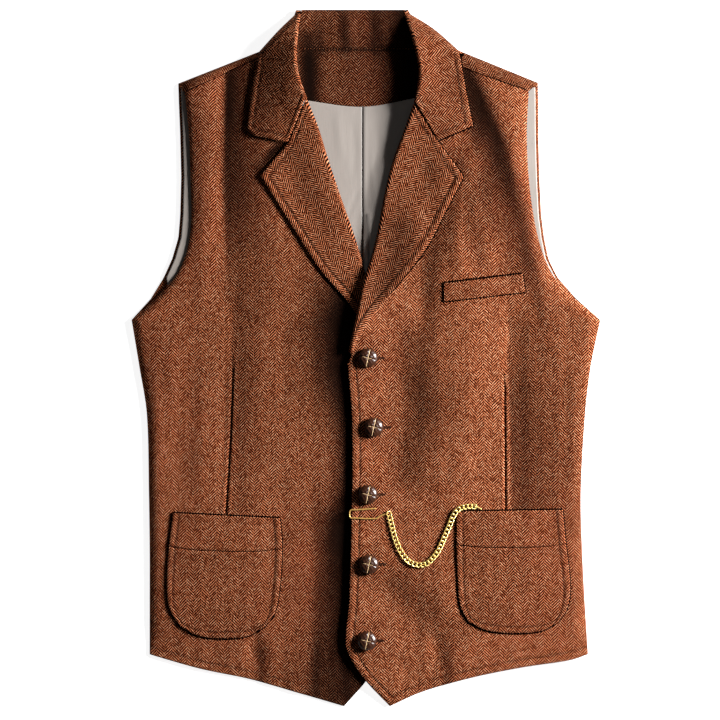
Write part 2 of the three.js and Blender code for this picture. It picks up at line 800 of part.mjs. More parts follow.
function makeLining(side) {
  const out = outward(side);
  const middle = CENTRE_SEAM + (out * GAP) / 2;
  const corner = side === "left" ? FACING_EDGE[0] : FACING_EDGE.at(-1);
  const armhole = ARMHOLES.filter((row) => row.up >= 84).map((row) => ({
    y: Math.min(row.up, 284),
    x: row[side + "Back"] - out * LINING_EDGE_SETBACK,
  }));
  const outer = [{ x: out * 188, y: LINING_FOOT }, { x: out * 206, y: 66 }, ...armhole];
  const share = (k) => k / (outer.length - 1);
  const start = straightEdge(outer.map((point, k) => ({ at: share(k), ...point })));
  const end = straightEdge([
    { at: 0, x: middle, y: LINING_FOOT },
    { at: 1, x: middle, y: facingEdgeAt(middle).y - FACING_GAP },
  ]);
  const bottom = straightEdge([
    { at: 0, ...start(0) },
    { at: 1, ...end(0) },
  ]);
  const shoulderPart = straightEdge([
    { at: 0, ...start(1) },
    { at: 0.5, x: out * 125, y: 286 },
    { at: 1, x: corner.x, y: corner.y - FACING_GAP },
  ]);
  const top = (u) => {
    if (u <= CORNER_SHARE) return shoulderPart(u / CORNER_SHARE);
    const { x, y } = facingEdgeAt(mix(corner.x, middle, (u - CORNER_SHARE) / (1 - CORNER_SHARE)));
    return { x, y: y - FACING_GAP };
  };
  const height = (x, y) => {
    const { distance } = nearLine(PLEAT, x, y);
    return LINING_TOP + PLEAT.height * bell(distance, PLEAT.width);
  };
  const across = [0, 0.17, 0.33, 0.5, 0.67, 0.8, 0.9, 0.96, 1];
  const grid = patchGrid({ start, end, bottom, top }, across, steps(outer.length - 1), height, side === "right");
  place("lining_" + side, clothWall(grid, LINING_WALL), FINISHES.lining);
}

function makeNeckFacing() {
  const edges = {
    start: straightEdge([
      { at: 0, x: -66, y: 271 },
      { at: 1, x: -96, y: NECK_SEAM },
    ]),
    end: straightEdge([
      { at: 0, x: 56, y: 274 },
      { at: 1, x: 84, y: NECK_SEAM },
    ]),
    bottom: (u) => facingEdgeAt(mix(FACING_EDGE[0].x, FACING_EDGE.at(-1).x, u)),
    top: straightEdge([
      { at: 0, x: -96, y: NECK_SEAM },
      { at: 1, x: 84, y: NECK_SEAM },
    ]),
  };
  const top = BACK_WALL + GAP + PATCH_WALL;
  place("neck_facing", clothWall(patchGrid(edges, steps(10), steps(3), () => top), PATCH_WALL), FINISHES.tweed);
}

// Patch pockets and the chest welt lie on their front, made from its points.
const POCKETS = {
  left: {
    start: table("at x y", [
      [0, -195, -281],
      [0.17, -206, -263],
      [0.38, -209, -238],
      [0.68, -207, -200],
      [1, -202.5, -162.5],
    ]),
    end: table("at x y", [
      [0, -106, -281.5],
      [0.14, -95.5, -267],
      [0.4, -90, -236],
      [0.72, -88, -198],
      [1, -90, -168],
    ]),
    bottom: table("at x y", [
      [0, -195, -281],
      [0.2, -177, -291],
      [0.5, -151, -294],
      [0.8, -124, -291.5],
      [1, -106, -281.5],
    ]),
  },
  right: {
    start: table("at x y", [
      [0, 107, -276.5],
      [0.16, 98.5, -260],
      [0.4, 95.6, -230],
      [0.7, 94.5, -196],
      [1, 94.5, -161],
    ]),
    end: table("at x y", [
      [0, 201, -277],
      [0.13, 210.5, -263],
      [0.32, 214, -240],
      [0.7, 209.5, -195],
      [1, 206, -159],
    ]),
    bottom: table("at x y", [
      [0, 107, -276.5],
      [0.2, 126, -285.5],
      [0.5, 156, -288.5],
      [0.8, 184, -286],
      [1, 201, -277],
    ]),
  },
};
const POCKET_COLUMNS = 9;
const POCKET_ROWS = [0, 0.1, 0.24, 0.4, 0.56, 0.7];
const BAND_ROWS = [0.7, 0.85, 1];
const LAID_GAP = 0.55; // between a patch and the front, over the front's own facets

const lift = (side, x, y, wall) => heightOn(FRONTS[side], x, y) + wall + LAID_GAP;
const COVERINGS = [FRONTS.right]; // what the chain may lie on

function makePocket(side) {
  const { start, end, bottom } = POCKETS[side];
  const edges = {
    start: smoothEdge(start),
    end: smoothEdge(end),
    bottom: smoothEdge(bottom),
    top: straightEdge([start.at(-1), end.at(-1)].map(({ x, y }, at) => ({ at, x, y }))),
  };
  const seamShare = GAP / 130;
  const bandRows = BAND_ROWS.map((v) => (v === BAND_ROWS[0] ? v + seamShare : v));
  const height = (x, y) => lift(side, x, y, PATCH_WALL);
  const pouch = patchGrid(edges, steps(POCKET_COLUMNS), POCKET_ROWS, height);
  const band = patchGrid(edges, steps(POCKET_COLUMNS), bandRows, height);
  COVERINGS.push(pouch, band);
  place("pocket_" + side, clothWall(pouch, PATCH_WALL), FINISHES.tweed);
  place("pocket_band_" + side, clothWall(band, PATCH_WALL), FINISHES.tweed);
}

const WELT = { low: [81, 59, 167, 69], high: [81, 78, 164, 88] };

function makeChestWelt() {
  const line = ([x1, y1, x2, y2]) => (share) => ({ x: mix(x1, x2, share), y: mix(y1, y2, share) });
  const [bottom, top] = [line(WELT.low), line(WELT.high)];
  const between = (at) => (share) => ({
    x: mix(bottom(at).x, top(at).x, share),
    y: mix(bottom(at).y, top(at).y, share),
  });
  const edges = { start: between(0), end: between(1), bottom, top };
  const grid = patchGrid(edges, steps(9), steps(2), (x, y) => lift("right", x, y, PATCH_WALL));
  place("chest_welt", clothWall(grid, PATCH_WALL), FINISHES.tweed);
}

// Buttons: woven-leather domes, worked out from one section
const BUTTONS = table("x y", [
  [2, 0],
  [8, -72.5],
  [2, -143],
  [3, -216],
  [1, -296],
]);
const BUTTON_SECTION = table("out up", [
  [0, 0],
  [0.84, 0],
  [1, 2.2],
  [0.94, 4.6],
  [0.7, 6.6],
  [0.37, 7.6],
  [0, 7.9],
]);
const BUTTON_SIDES = 16;

function makeButtons() {
  const section = BUTTON_SECTION.map(({ out, up }) => new THREE.Vector2(out * BUTTON_RADIUS, up));
  BUTTONS.forEach(({ x, y }, k) => {
    const ring = steps(8).map((turn) => {
      const angle = turn * 2 * Math.PI;
      return [x + 0.8 * BUTTON_RADIUS * Math.cos(angle), y + 0.8 * BUTTON_RADIUS * Math.sin(angle)];
    });
    const seat = Math.max(...[...ring, [x, y]].map(([px, py]) => heightOn(FRONTS.right, px, py) ?? 0));
    const geometry = new THREE.LatheGeometry(section, BUTTON_SIDES);
    geometry.rotateX(Math.PI / 2);
    geometry.translate(x, y, seat + GAP);
    place("button_" + (k + 1), geometry, FINISHES.leather);
  });
}

// Watch chain: from a wire clip over the closing edge to an end clip at the pocket mouth
const CHAIN_ROUTE = table("x y", [
  [24, -163.5],
  [27, -176],
  [31, -191],
  [37, -204],
  [44, -212.5],
  [53, -216.5],
  [62, -216],
  [69, -210.5],
  [75.5, -202],
  [81.5, -189],
  [87, -176],
  [92, -164],
  [98, -157.5],
  [106, -155.5],
  [113, -155.5],
]);
const CHAIN_STEPS = 40;
const CHAIN_SIDES = 8;

function tube(points, radius, sides, count) {
  const curve = new THREE.CatmullRomCurve3(points, false, "centripetal");
  const corners = steps(sides)
    .slice(0, -1)
    .map((turn) => turn * 2 * Math.PI)
    .map((angle) => new THREE.Vector2(radius * Math.cos(angle), radius * Math.sin(angle)));
  return new THREE.ExtrudeGeometry(new THREE.Shape(corners), {
    steps: count,
    bevelEnabled: false,
    extrudePath: curve,
  });
}

// A point of a wire's centre line, clear of what lies under it.
function above(x, y, radius, extra = 0) {
  const around = steps(6).flatMap((turn) => {
    const angle = turn * 2 * Math.PI;
    const reach = radius + 2.5;
    const [px, py] = [x + reach * Math.cos(angle), y + reach * Math.sin(angle)];
    return COVERINGS.map((grid) => heightOn(grid, px, py) ?? 0);
  });
  return new THREE.Vector3(x, y, Math.max(...around) + GAP + radius + extra);
}

function makeChain() {
  const route = CHAIN_ROUTE.map(({ x, y }) => above(x, y, CHAIN_RADIUS));
  place("chain", tube(route, CHAIN_RADIUS, CHAIN_SIDES, CHAIN_STEPS), FINISHES.gold);
  const wire = [
    above(23.7, -162.3, WIRE_RADIUS),
    above(16, -165, WIRE_RADIUS),
    above(10.5, -168, WIRE_RADIUS),
    above(-12, -167.6, WIRE_RADIUS),
    above(-13, -167.2, WIRE_RADIUS, 0.2).setX(-16.2),
    above(-13, -163.4, WIRE_RADIUS, 0.2).setX(-17.4),
    above(-13, -159.4, WIRE_RADIUS, 0.2).setX(-16.2),
    above(-12, -159, WIRE_RADIUS),
    above(11, -157.6, WIRE_RADIUS),
  ];
  place("chain_hook", tube(wire, WIRE_RADIUS, 8, 30), FINISHES.gold);
  const end = [
    above(113.4, -155.5, WIRE_RADIUS, 0.8),
    above(117, -156.4, WIRE_RADIUS),
    above(121, -158.6, WIRE_RADIUS),
  ];
  place("chain_end", tube(end, WIRE_RADIUS, 8, 6), FINISHES.gold);
}

["left", "right"].forEach((side) => {
  makeBack(side);
  makeLining(side);
  makeFront(side);
  makeLapel(side);
  makeCollarSide(side);
  makePocket(side);
});
makeNeckFacing();
makeCollarBack();
makeChestWelt();
makeButtons();
makeChain();

export default waistcoat;
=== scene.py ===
# A single-breasted tweed waistcoat with notched lapels, buttoned and laid flat on its back.
# Sizes are in millimetres until a mesh is made: X to the right of the view, Y up the garment to
# the collar, Z up from the table. "Left" and "right" are as seen from above.
import math

import bpy
import numpy as np
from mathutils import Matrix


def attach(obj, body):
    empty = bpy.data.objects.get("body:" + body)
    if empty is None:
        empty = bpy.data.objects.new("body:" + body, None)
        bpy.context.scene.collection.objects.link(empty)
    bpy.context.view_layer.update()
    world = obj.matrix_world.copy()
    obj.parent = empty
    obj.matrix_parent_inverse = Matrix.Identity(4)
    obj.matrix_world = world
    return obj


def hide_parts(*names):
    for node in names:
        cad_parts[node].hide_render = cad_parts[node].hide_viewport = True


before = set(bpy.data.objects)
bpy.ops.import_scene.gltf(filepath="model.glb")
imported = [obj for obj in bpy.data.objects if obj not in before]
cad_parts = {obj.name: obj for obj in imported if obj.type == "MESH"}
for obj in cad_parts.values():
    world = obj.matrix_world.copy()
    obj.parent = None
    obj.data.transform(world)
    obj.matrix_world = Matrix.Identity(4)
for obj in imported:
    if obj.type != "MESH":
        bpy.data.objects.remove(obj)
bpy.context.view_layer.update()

GAP = 0.3
BACK_WALL = 1.8
LINING_WALL = 1.0
FRONT_WALL = 1.8
PATCH_WALL = 1.6
CENTRE_SEAM = -3.7
COLLAR_TOP = 365.5
HEM_POINT = -365.5
BACK_HEM = -318
NECK_SEAM = 324
UNDERARM = 40
BREAK = 0
GORGE = {"left": 270, "right": 266}
SIDE_ROUNDING = 16
ROLL_INSET = 3.3
ROLL_HEIGHT = 3.9
COLLAR_LIFT = 2.9
COLLAR_CROWN = {"left": 7.0, "right": 3.4}
STAND_FOOT = 4.4
BUTTON_RADIUS = 10.25
SHOULDER_ROUNDING = 12.5
OUTWARD = {"left": -1, "right": 1}


# Tables and curves


def table(columns, rows):
    """Columns of numbers by name, from rows in lists or in text with commas between them."""
    if isinstance(rows, str):
        rows = [row.split() for row in rows.split(",")]
    return {name: np.array([float(row[k]) for row in rows]) for k, name in enumerate(columns.split())}


def mix(low, high, share):
    return low + (high - low) * share


def smooth(share):
    t = np.clip(share, 0, 1)
    return t * t * (3 - 2 * t)


def bell(distance, width):
    return np.exp(-((distance / width) ** 2))


def rounding(distance, width):
    """Rises as a quarter of an ellipse from 0 at an edge to 1 at the given width."""
    t = 1 - np.clip(distance / width, 0, 1)
    return np.sqrt(1 - t * t)


def read(rows, key, column, place):
    """A table's column at places along its key column, on a smooth curve through the rows."""
    keys, values = rows[key], rows[column]
    last = len(keys) - 1
    place = np.asarray(place, float)
    k = np.searchsorted(keys[1:last], place)
    before = np.maximum(np.arange(last + 1) - 1, 0)
    after = np.minimum(np.arange(last + 1) + 1, last)
    slope = (values[after] - values[before]) / (keys[after] - keys[before])
    span = keys[k + 1] - keys[k]
    t = np.clip((place - keys[k]) / span, 0, 1)
    bends = slope[k] * t * (1 - t) ** 2 - slope[k + 1] * t * t * (1 - t)
    return mix(values[k], values[k + 1], t * t * (3 - 2 * t)) + span * bends


def path_lengths(points):
    """Length along a line of points, from the first one."""
    return np.concatenate([[0], np.cumsum(np.linalg.norm(np.diff(points, axis=0), axis=1))])


def smooth_edge(rows):
    return lambda share: np.stack([read(rows, "at", axis, share) for axis in "xy"], -1)


def straight_edge(*points):
    """An edge of straight lines through points of share, x and y."""
    at, x, y = np.array(points, float).T
    return lambda share: np.stack([np.interp(share, at, x), np.interp(share, at, y)], -1)


SIDES = table("up left right", """
    -311 -227 233, -254 -227 229.5, -205 -227 227, -143 -227.8 225.5, -59 -230 230, -8 -238 236, 40 -246 246
""")
ARMHOLES = table("up leftBack leftFront rightFront rightBack", """
    40 -246 -246 246 246, 62 -226 -221 219 221, 84 -212.5 -201 198 201.5, 104 -203.5 -190.5 187.5 191.5,
    126 -197 -185 180.5 187, 150 -195 -183 175.5 184, 190 -194 -184 170.5 182, 234 -195 -185.5 168.5 181,
    270 -196.5 -189 170 180.8, 289 -197 -191 172 180.5
""")
CLOSING = table("up left right", """
    -365.5 -23 25, -339 0 0, -318 13 -14.5, -300 18 -21.5, -254 19 -18, -149 19 -15, -65 19 -15, -23 18 -18,
    0 15 -20
""")
ROLL = table("up left right", """
    0 15 -20, 40 9 -11.5, 80 1.5 -3, 110 -6.5 6.5, 140 -16 13.5, 168 -26 18.5, 205 -38.5 27.5, 242 -50 41,
    270 -61 50.5, 297 -70 55, 313 -72 53, 336 -71 47.5, 363 -68 39
""")
HEMS = {
    "left": table("x y", [[-227, -311], [-174, -326], [-122, -337], [-69, -352], [-23, HEM_POINT]]),
    "right": table("x y", [
        [25, HEM_POINT], [57, -351], [109, -336], [162, -325], [214, -317], [233, -311],
    ]),
}
SHOULDERS = {
    "left": {
        "tip": (-197, 288), "neck": (-111, 322), "seam_tip": (-190.5, 278), "seam_neck": (-112, 315),
        "wrap_end": (-117, 319.6),
    },
    "right": {
        "tip": (180.5, 289), "neck": (97, 323), "seam_tip": (170.5, 279.5), "seam_neck": (96, 305.5),
        "wrap_end": (103, 320.5),
    },
}
LOFT = table("up panel left right", """
    -365.5 3.4 2.6 3.6, -340 4.6 3.9 7.6, -318 6.2 4.6 9.4, -280 7.4 5.6 11.2, -200 7.8 6 11.6,
    -100 8.1 6 11, 0 8.4 6 11.8, 40 9.2 6 14.2, 90 9.6 6.4 13.4, 112 9.6 7.6 10.2, 150 9.8 10.2 8.4,
    200 10.4 12.6 8.4, 235 11 14.6 12.4, 262 11.2 16 16, 320 12 17.5 17.5
""")
HEM_HEIGHT = 4.3
HEM_FADE = 45
EDGE_REACH = 32
OVERLAP_START = -26
ARMHOLE_EDGE_HEIGHT = 6.3

CREASE_COLUMNS = "x1 y1 x2 y2 x3 y3 width height"
FOLDS = {
    "left": table(CREASE_COLUMNS, """
        -169 285 -168 160 -172 60 10 1.2, -100 296 -104 170 -96 60 20 1.6, -88 60 -86 -60 -92 -190 24 -1.7,
        -40 70 -38 -60 -42 -190 15 1.1, -118 -290 -117 -318 -120 -350 8 -1.7,
        -100 -290 -101 -318 -102 -350 8 0.8, -50 -200 -52 -280 -56 -352 10 -1.7,
        -72 -205 -72 -280 -76 -356 13 1.3, -190 20 -188 -60 -196 -140 16 -1.2,
        -166 -10 -168 -80 -172 -150 18 1
    """),
    "right": table(CREASE_COLUMNS, """
        76 268 108 190 128 105 10 1.7, 62 200 72 120 60 40 13 -1.7, 99 180 97 120 100 92 8 1.3,
        33 20 36 -50 30 -125 24 -2.3, 112 60 106 -50 92 -150 24 2.4, 156 30 157 -60 158 -160 13 -1.8,
        203 20 203 -80 202 -180 15 1.3, 20 -235 34 -262 52 -290 16 -1.3, 80 -230 84 -280 90 -345 15 1.2,
        74 -296 76 -320 75 -348 8 -1.9, 8 70 22 95 44 122 12 -1.3
    """),
}
# Sharp tucks, each with its own width to the left and to the right, and how strong its ends are
TUCK_COLUMNS = "x1 y1 x2 y2 x3 y3 left right height head tail"
TUCK_TOP = 1.5
TUCKS = {
    "left": table(TUCK_COLUMNS, "-147 300 -149 185 -144 45 11 30 -5.2 0.9 0.15"),
    "right": table(TUCK_COLUMNS, """
        112 298 150 215 172 88 11 18 3.6 0.8 0.25, 92 262 110 215 118 160 6 14 1.6 0.5 0.1
    """),
}
# The finer creases, uneven in length, width and depth
CREASES = {
    "left": table(CREASE_COLUMNS, """
        -205 45 -212 0 -214 -60 5 -0.5, -219 20 -221 -80 -220 -180 4 0.35, -92 60 -86 10 -84 -70 9 -0.55,
        -28 40 -30 -20 -33 -90 6 -0.5, -60 -110 -55 -170 -58 -240 10 -0.5, -118 40 -120 -30 -118 -95 8 0.45,
        -168 -30 -172 -90 -176 -150 8 0.45, -75 -255 -77 -290 -76 -330 6 -0.4,
        -130 -296 -131 -315 -129 -338 5 0.4, -158 -300 -158 -313 -160 -328 6 -0.45,
        -27 -270 -24 -310 -28 -345 7 -0.6, -200 -292 -203 -300 -206 -316 5 -0.4
    """),
    "right": table(CREASE_COLUMNS, """
        14 -8 34 -22 52 -60 5 -0.55, 16 6 40 8 66 26 5 -0.5, 18 -68 40 -60 62 -76 5 0.4,
        17 -80 36 -92 50 -120 5 -0.45, 14 -140 30 -132 46 -110 5 -0.4, 15 -205 30 -196 42 -180 5 -0.35,
        150 40 158 -20 160 -70 8 -0.5, 205 30 209 -60 207 -160 6 -0.45, 216 20 220 -80 216 -190 4 0.35,
        95 -40 90 -90 86 -140 9 -0.5, 56 -235 53 -270 50 -320 8 -0.45, 38 -320 42 -335 40 -350 5 -0.4,
        104 -296 103 -312 104 -335 5 0.4, 130 -294 131 -310 129 -330 6 -0.4,
        160 -294 159 -308 161 -324 5 0.35, 194 -286 196 -300 195 -318 7 -0.4
    """),
}
# Painted shade: darkness painted into the cloth deep in folds and under an edge, in place of shadow: widths
# to the left and right
PAINTED_SHADES = {
    "left front": table(TUCK_COLUMNS, """
        -144 300 -146 185 -141 60 6 38 0.76 1 0.3, -166 300 -168 200 -172 110 26 18 0.26 1 0.4,
        -143 294 -144 262 -145 215 4 8 0.6 1 0, -10 112 -24 40 -20 -20 40 60 0.97 0.8 0.8,
        -20 -10 -16 -110 -18 -190 24 60 0.9 1 1, -20 -180 -16 -270 -20 -350 34 60 0.95 1 0.9,
        -40 60 -38 20 -40 -60 34 34 0.35 0.4 0.2, -45 -195 -48 -280 -54 -350 26 26 0.5 0.3 1,
        -110 -292 -109 -320 -111 -352 6 8 0.5 0.2 1, -138 50 -141 -40 -145 -170 3 46 0.5 0.6 0.5,
        -222 30 -217 0 -214 -60 12 16 0.35 0.6 0.2, -86 228 -98 215 -112 198 6 6 0.9 0.8 0.6,
        -51 -290 -52 -320 -54 -352 6 8 0.4 0.3 1, -150 200 -120 100 -100 0 90 90 0.16 1 0.4,
        -228 30 -222 -100 -224 -300 8 6 0.1 1 1
    """),
    "right front": table(TUCK_COLUMNS, """
        105 300 138 228 166 100 22 14 0.85 0.9 0.5, 104 304 112 275 120 225 12 16 0.5 1 0.3,
        158 190 170 110 178 30 8 10 0.5 0.6 0.2, 110 240 120 150 126 92 48 48 0.2 1 0.6,
        50 12 62 -50 46 -115 28 26 0.64 0.7 0.7, 150 14 153 -80 154 -158 3 52 0.62 0.7 0.9,
        226 30 216 -100 218 -250 24 18 0.3 1 1, 30 -235 58 -262 92 -285 18 20 0.3 0.8 0.8,
        86 -292 87 -320 88 -348 7 8 0.42 0.2 1, 84 165 72 120 56 75 16 22 0.56 0.7 0.5,
        112 178 108 145 106 112 5 6 0.25 0.5 0.5, 3 12 4 0 2 -12 15 15 0.35 1 1,
        9 -60 9 -72 8 -84 15 15 0.3 1 1, 3 -130 3 -143 3 -156 15 15 0.3 1 1,
        4 -204 4 -216 4 -228 15 15 0.3 1 1, 2 -284 2 -296 2 -308 15 15 0.3 1 1,
        104 262 112 235 118 190 8 10 0.35 0.6 0.4, 122 190 124 165 128 120 8 10 0.4 0.5 0.3,
        99 218 99 200 97 170 7 9 0.4 0.6 0.3, 66 110 66 60 64 10 7 9 0.5 0.5 0.4,
        176 92 184 50 190 0 6 8 0.36 0.7 0.3, 60 -250 40 -240 26 -230 22 22 0.28 0.6 0.8
    """),
    "left lapel": table(TUCK_COLUMNS, """
        -70 225 -55 170 -20 90 18 14 0.3 1 0.8, -60 200 -44 165 -30 120 60 60 0.16 1 1
    """),
    "right lapel": table(TUCK_COLUMNS, """
        36 132 33 105 18 72 20 18 0.5 0.8 0.9, 60 220 40 150 20 70 60 60 0.34 1 1,
        70 215 60 180 44 140 14 14 0.2 0.5 0.8
    """),
    "left collar": table(TUCK_COLUMNS, "-104 315 -100 285 -106 245 34 26 0.62 1 0.8"),
    "right collar": table(TUCK_COLUMNS, """
        88 318 82 290 92 250 12 12 0.15 1 1, 70 350 80 300 90 230 70 70 0.36 1 1
    """),
    "neck": table(TUCK_COLUMNS, """
        -61 334 -59 300 -59 262 14 12 0.99 0.8 1, 46 366 47 320 46 262 29 30 0.97 1 1,
        -10 370 -10 320 -10 262 90 90 0.62 1 1, -49 358 -48 340 -47 322 6 6 0.5 0.6 1,
        -24 362 -23 345 -21 324 7 7 0.55 0.7 1, 8 362 9 345 8 324 6 12 0.5 1 1,
        -60 324 -5 323.6 50 324 1.7 1.7 0.8 1 1
    """),
}
DARTS = {
    "left": table(CREASE_COLUMNS, "-139 5 -142 -80 -147 -163 1.2 -1"),
    "right": table(CREASE_COLUMNS, "145 -15 145.5 -85 146 -158 1.2 -1.5"),
}


def near_line(rows, k, x, y):
    """Distance from points to a crease's line, and the share along it."""
    corners = [(rows[f"x{n}"][k], rows[f"y{n}"][k]) for n in (1, 2, 3)]
    best, along, right = np.full(np.shape(x), np.inf), np.zeros(np.shape(x)), np.zeros(np.shape(x), bool)
    for part, ((ax, ay), (bx, by)) in enumerate(zip(corners, corners[1:])):
        length = (bx - ax) ** 2 + (by - ay) ** 2
        share = np.clip(((x - ax) * (bx - ax) + (y - ay) * (by - ay)) / length, 0, 1)
        distance = np.hypot(x - mix(ax, bx, share), y - mix(ay, by, share))
        nearer = distance < best
        best = np.where(nearer, distance, best)
        along = np.where(nearer, (part + share) / 2, along)
        right = np.where(nearer, (bx - ax) * (y - ay) > (by - ay) * (x - ax), right)
    return best, along, right


def crease_height(rows, x, y, faded=False):
    total = np.zeros(np.shape(x))
    for k, (width, height) in enumerate(zip(rows["width"], rows["height"])):
        distance, along, _ = near_line(rows, k, x, y)
        fade = np.sin(np.pi * np.clip(along, 0.02, 0.98)) ** 0.6 if faded else 1
        total = total + height * fade * bell(distance, width)
    return total


def tuck_reach(rows, k, x, y):
    """Distance to a tuck's line, its width on that side of it, and its strength along it."""
    distance, along, right = near_line(rows, k, x, y)
    width = np.where(right, rows["right"][k], rows["left"][k])
    head = mix(rows["head"][k], 1, smooth(along / 0.3))
    return distance, width, head * mix(1, rows["tail"][k], smooth(along * 2 - 1))


def tuck_height(rows, x, y):
    total = np.zeros(np.shape(x))
    for k, height in enumerate(rows["height"]):
        distance, width, strength = tuck_reach(rows, k, x, y)
        from_top = np.sqrt(distance**2 + TUCK_TOP**2) - TUCK_TOP
        total = total + height * strength * np.exp(-from_top / width)
    return total


def painted_shade_of(name, x, y):
    """How strong the painted shade is, from 0 to 1."""
    rows, open_share = PAINTED_SHADES[name], np.ones(np.shape(x))
    for k, painted_shade in enumerate(rows["height"]):
        distance, width, strength = tuck_reach(rows, k, x, y)
        open_share = open_share * (1 - painted_shade * strength * bell(distance, width))
    return 1 - open_share


def hem_at(side, x):
    return read(HEMS[side], "x", "y", x)


def side_at(side, y):
    return np.where(
        y <= UNDERARM, read(SIDES, "up", side, y), read(ARMHOLES, "up", side + "Front", y)
    )


def inner_edge_at(side, y):
    return np.where(np.asarray(y) <= BREAK, read(CLOSING, "up", side, y), read(ROLL, "up", side, y))


def roll_point(side, up, distance):
    """The roll line at a height, moved outward from the neck by a distance square to it."""
    up = np.asarray(up, float)
    low_up = np.maximum(up - 2, BREAK + 0.1)
    across = inner_edge_at(side, up + 2) - inner_edge_at(side, low_up)
    rise = up + 2 - low_up
    length = np.hypot(across, rise) * OUTWARD[side]
    x = inner_edge_at(side, up) + distance * rise / length
    return np.stack([x, up - distance * across / length], -1)


def from_shoulder(side, x, y):
    (tx, ty), (nx, ny) = SHOULDERS[side]["tip"], SHOULDERS[side]["neck"]
    across = ((ny - ty) * (x - tx) - (nx - tx) * (y - ty)) / math.hypot(nx - tx, ny - ty)
    return -OUTWARD[side] * across


def front_loft(side, x, y):
    """Height of the outside of a front, without the rounding at its shoulder."""
    out = OUTWARD[side]
    from_side = np.maximum(out * (side_at(side, y) - x), 0)
    inner = inner_edge_at(side, y)
    if side == "left":
        inner = mix(OVERLAP_START, inner, smooth((y - 72) / 34))
    from_inner = np.maximum(out * (x - inner), 0)
    hem = HEM_HEIGHT - 1.4 * smooth((BACK_HEM - y) / 40)
    panel = mix(hem, read(LOFT, "up", "panel", y), smooth((y - hem_at(side, x)) / HEM_FADE))
    folded = mix(panel, read(LOFT, "up", side, y), bell(from_inner, EDGE_REACH))
    folded = folded + crease_height(FOLDS[side], x, y) + tuck_height(TUCKS[side], x, y)
    lowest = mix(2.6, 4.1, smooth((y + 350) / 30)) + 1.4 * smooth((y + 40) / 25)
    plateau = np.maximum(folded, lowest)
    foot = mix(BACK_WALL + GAP, ARMHOLE_EDGE_HEIGHT, smooth((y - UNDERARM) / 60))
    return foot + (plateau - foot) * rounding(from_side, SIDE_ROUNDING)


def surface_height(side, x, y):
    inside = rounding(from_shoulder(side, x, y), SHOULDER_ROUNDING)
    return 1 + (front_loft(side, x, y) - 1) * inside


def stitched_edge(distance, stitch_at, ridge=0.45, groove=0.5):
    """Height of a pressed edge: a soft ridge between the edge and the line of stitches."""
    raised = ridge * bell(distance - stitch_at * 0.5, stitch_at * 0.3)
    return raised - groove * bell(distance - stitch_at, 0.9)


def stitch_shade(distance, stitch_at, painted_shade, width=1.5):
    """Painted shade along a line of stitches."""
    return painted_shade * bell(distance - stitch_at, width)


EDGE_STITCH = 8.4


def from_front_edge(side, x, y):
    """Distance in from the front's closing edge and its hem."""
    slope = (inner_edge_at(side, y + 1) - inner_edge_at(side, y - 1)) / 2
    closing = OUTWARD[side] * (x - inner_edge_at(side, y)) / np.hypot(1, slope)
    rise = (hem_at(side, x + 1) - hem_at(side, x - 1)) / 2
    hem = (y - hem_at(side, x)) / np.hypot(1, rise)
    return np.where(y < BREAK + 10, np.minimum(closing, hem), 99)


def front_height(side, x, y):
    """The outside of a front with its finer creases, its dart and its stitched edge."""
    height = surface_height(side, x, y) + crease_height(CREASES[side], x, y, faded=True)
    if side == "right":
        height = height + stitched_edge(from_front_edge(side, x, y), EDGE_STITCH)
    darts = DARTS[side]
    distance, along, _ = near_line(darts, 0, x, y)
    fade = smooth(along / 0.15)
    sunk = darts["height"][0] * bell(distance, darts["width"][0])
    height = height + fade * (sunk + 0.45 * bell(distance - 3, 2))
    uneven = 0.16 * np.sin(x / 17 + y / 41 + 1.3) + 0.13 * np.sin(x / 31 - y / 23)
    return height + uneven * rounding(OUTWARD[side] * (side_at(side, y) - x), 20)


# Cloth

# Rounding of a turned edge: outside by a share of the wall, inside toward the outside
OUTER_TURN = 0.42
INNER_TURN = 0.12
# Step on the cut cloth between a wall's outside and its inside
INSIDE_CUT = 1.6
# Angles, in degrees, past which an edge is drawn sharp
CLOTH_SHARP = 48
SMALL_SHARP = 60


def patch(edges, across, up):
    """Points over a patch between four edges: start and end run up it, bottom and top across it."""
    start, end, bottom, top = edges
    across, up = np.asarray(across, float), np.asarray(up, float)
    u, v = across[None, :, None], up[:, None, None]
    ruled = mix(start(up)[:, None], end(up)[:, None], u) + mix(bottom(across)[None], top(across)[None], v)
    return ruled - mix(mix(bottom(0.0), bottom(1.0), u), mix(top(0.0), top(1.0), u), v)


def spaced(length, spacing, close=(0.4, 1.1, 2.2)):
    """Shares along a length, about one spacing apart and closer at both ends."""
    count = max(int((length - 2 * close[-1]) / spacing), 2)
    middle = np.linspace(close[-1], length - close[-1], count + 1)
    ends = np.array([0, *close[:-1]])
    return np.concatenate([ends, middle, length - ends[::-1]]) / length


def with_height(plan, height):
    return np.concatenate([plan, np.broadcast_to(height, plan.shape[:2])[..., None]], -1)


def run_lengths(grid, axis):
    """Length along the grid's lines from their first points."""
    steps = np.linalg.norm(np.diff(grid, axis=axis), axis=-1)
    start = np.zeros_like(np.take(steps, [0], axis=axis))
    return np.concatenate([start, np.cumsum(steps, axis=axis)], axis=axis)


def from_edges(grid, edges):
    """Distance over the cloth to the nearest of the named edges."""
    across, up = run_lengths(grid, 1), run_lengths(grid, 0)
    reach = {"start": across, "end": across[:, -1:] - across, "bottom": up, "top": up[-1:] - up}
    return np.minimum.reduce([reach[name] for name in edges.split()])


def cloth_normals(grid):
    normal = np.cross(np.gradient(grid, axis=1), np.gradient(grid, axis=0))
    return normal / np.maximum(np.linalg.norm(normal, axis=-1, keepdims=True), 1e-9)


def top_row(grid):
    """Marks the last row of a grid, which stays level."""
    level = np.zeros(grid.shape[:2], bool)
    level[-1] = True
    return level


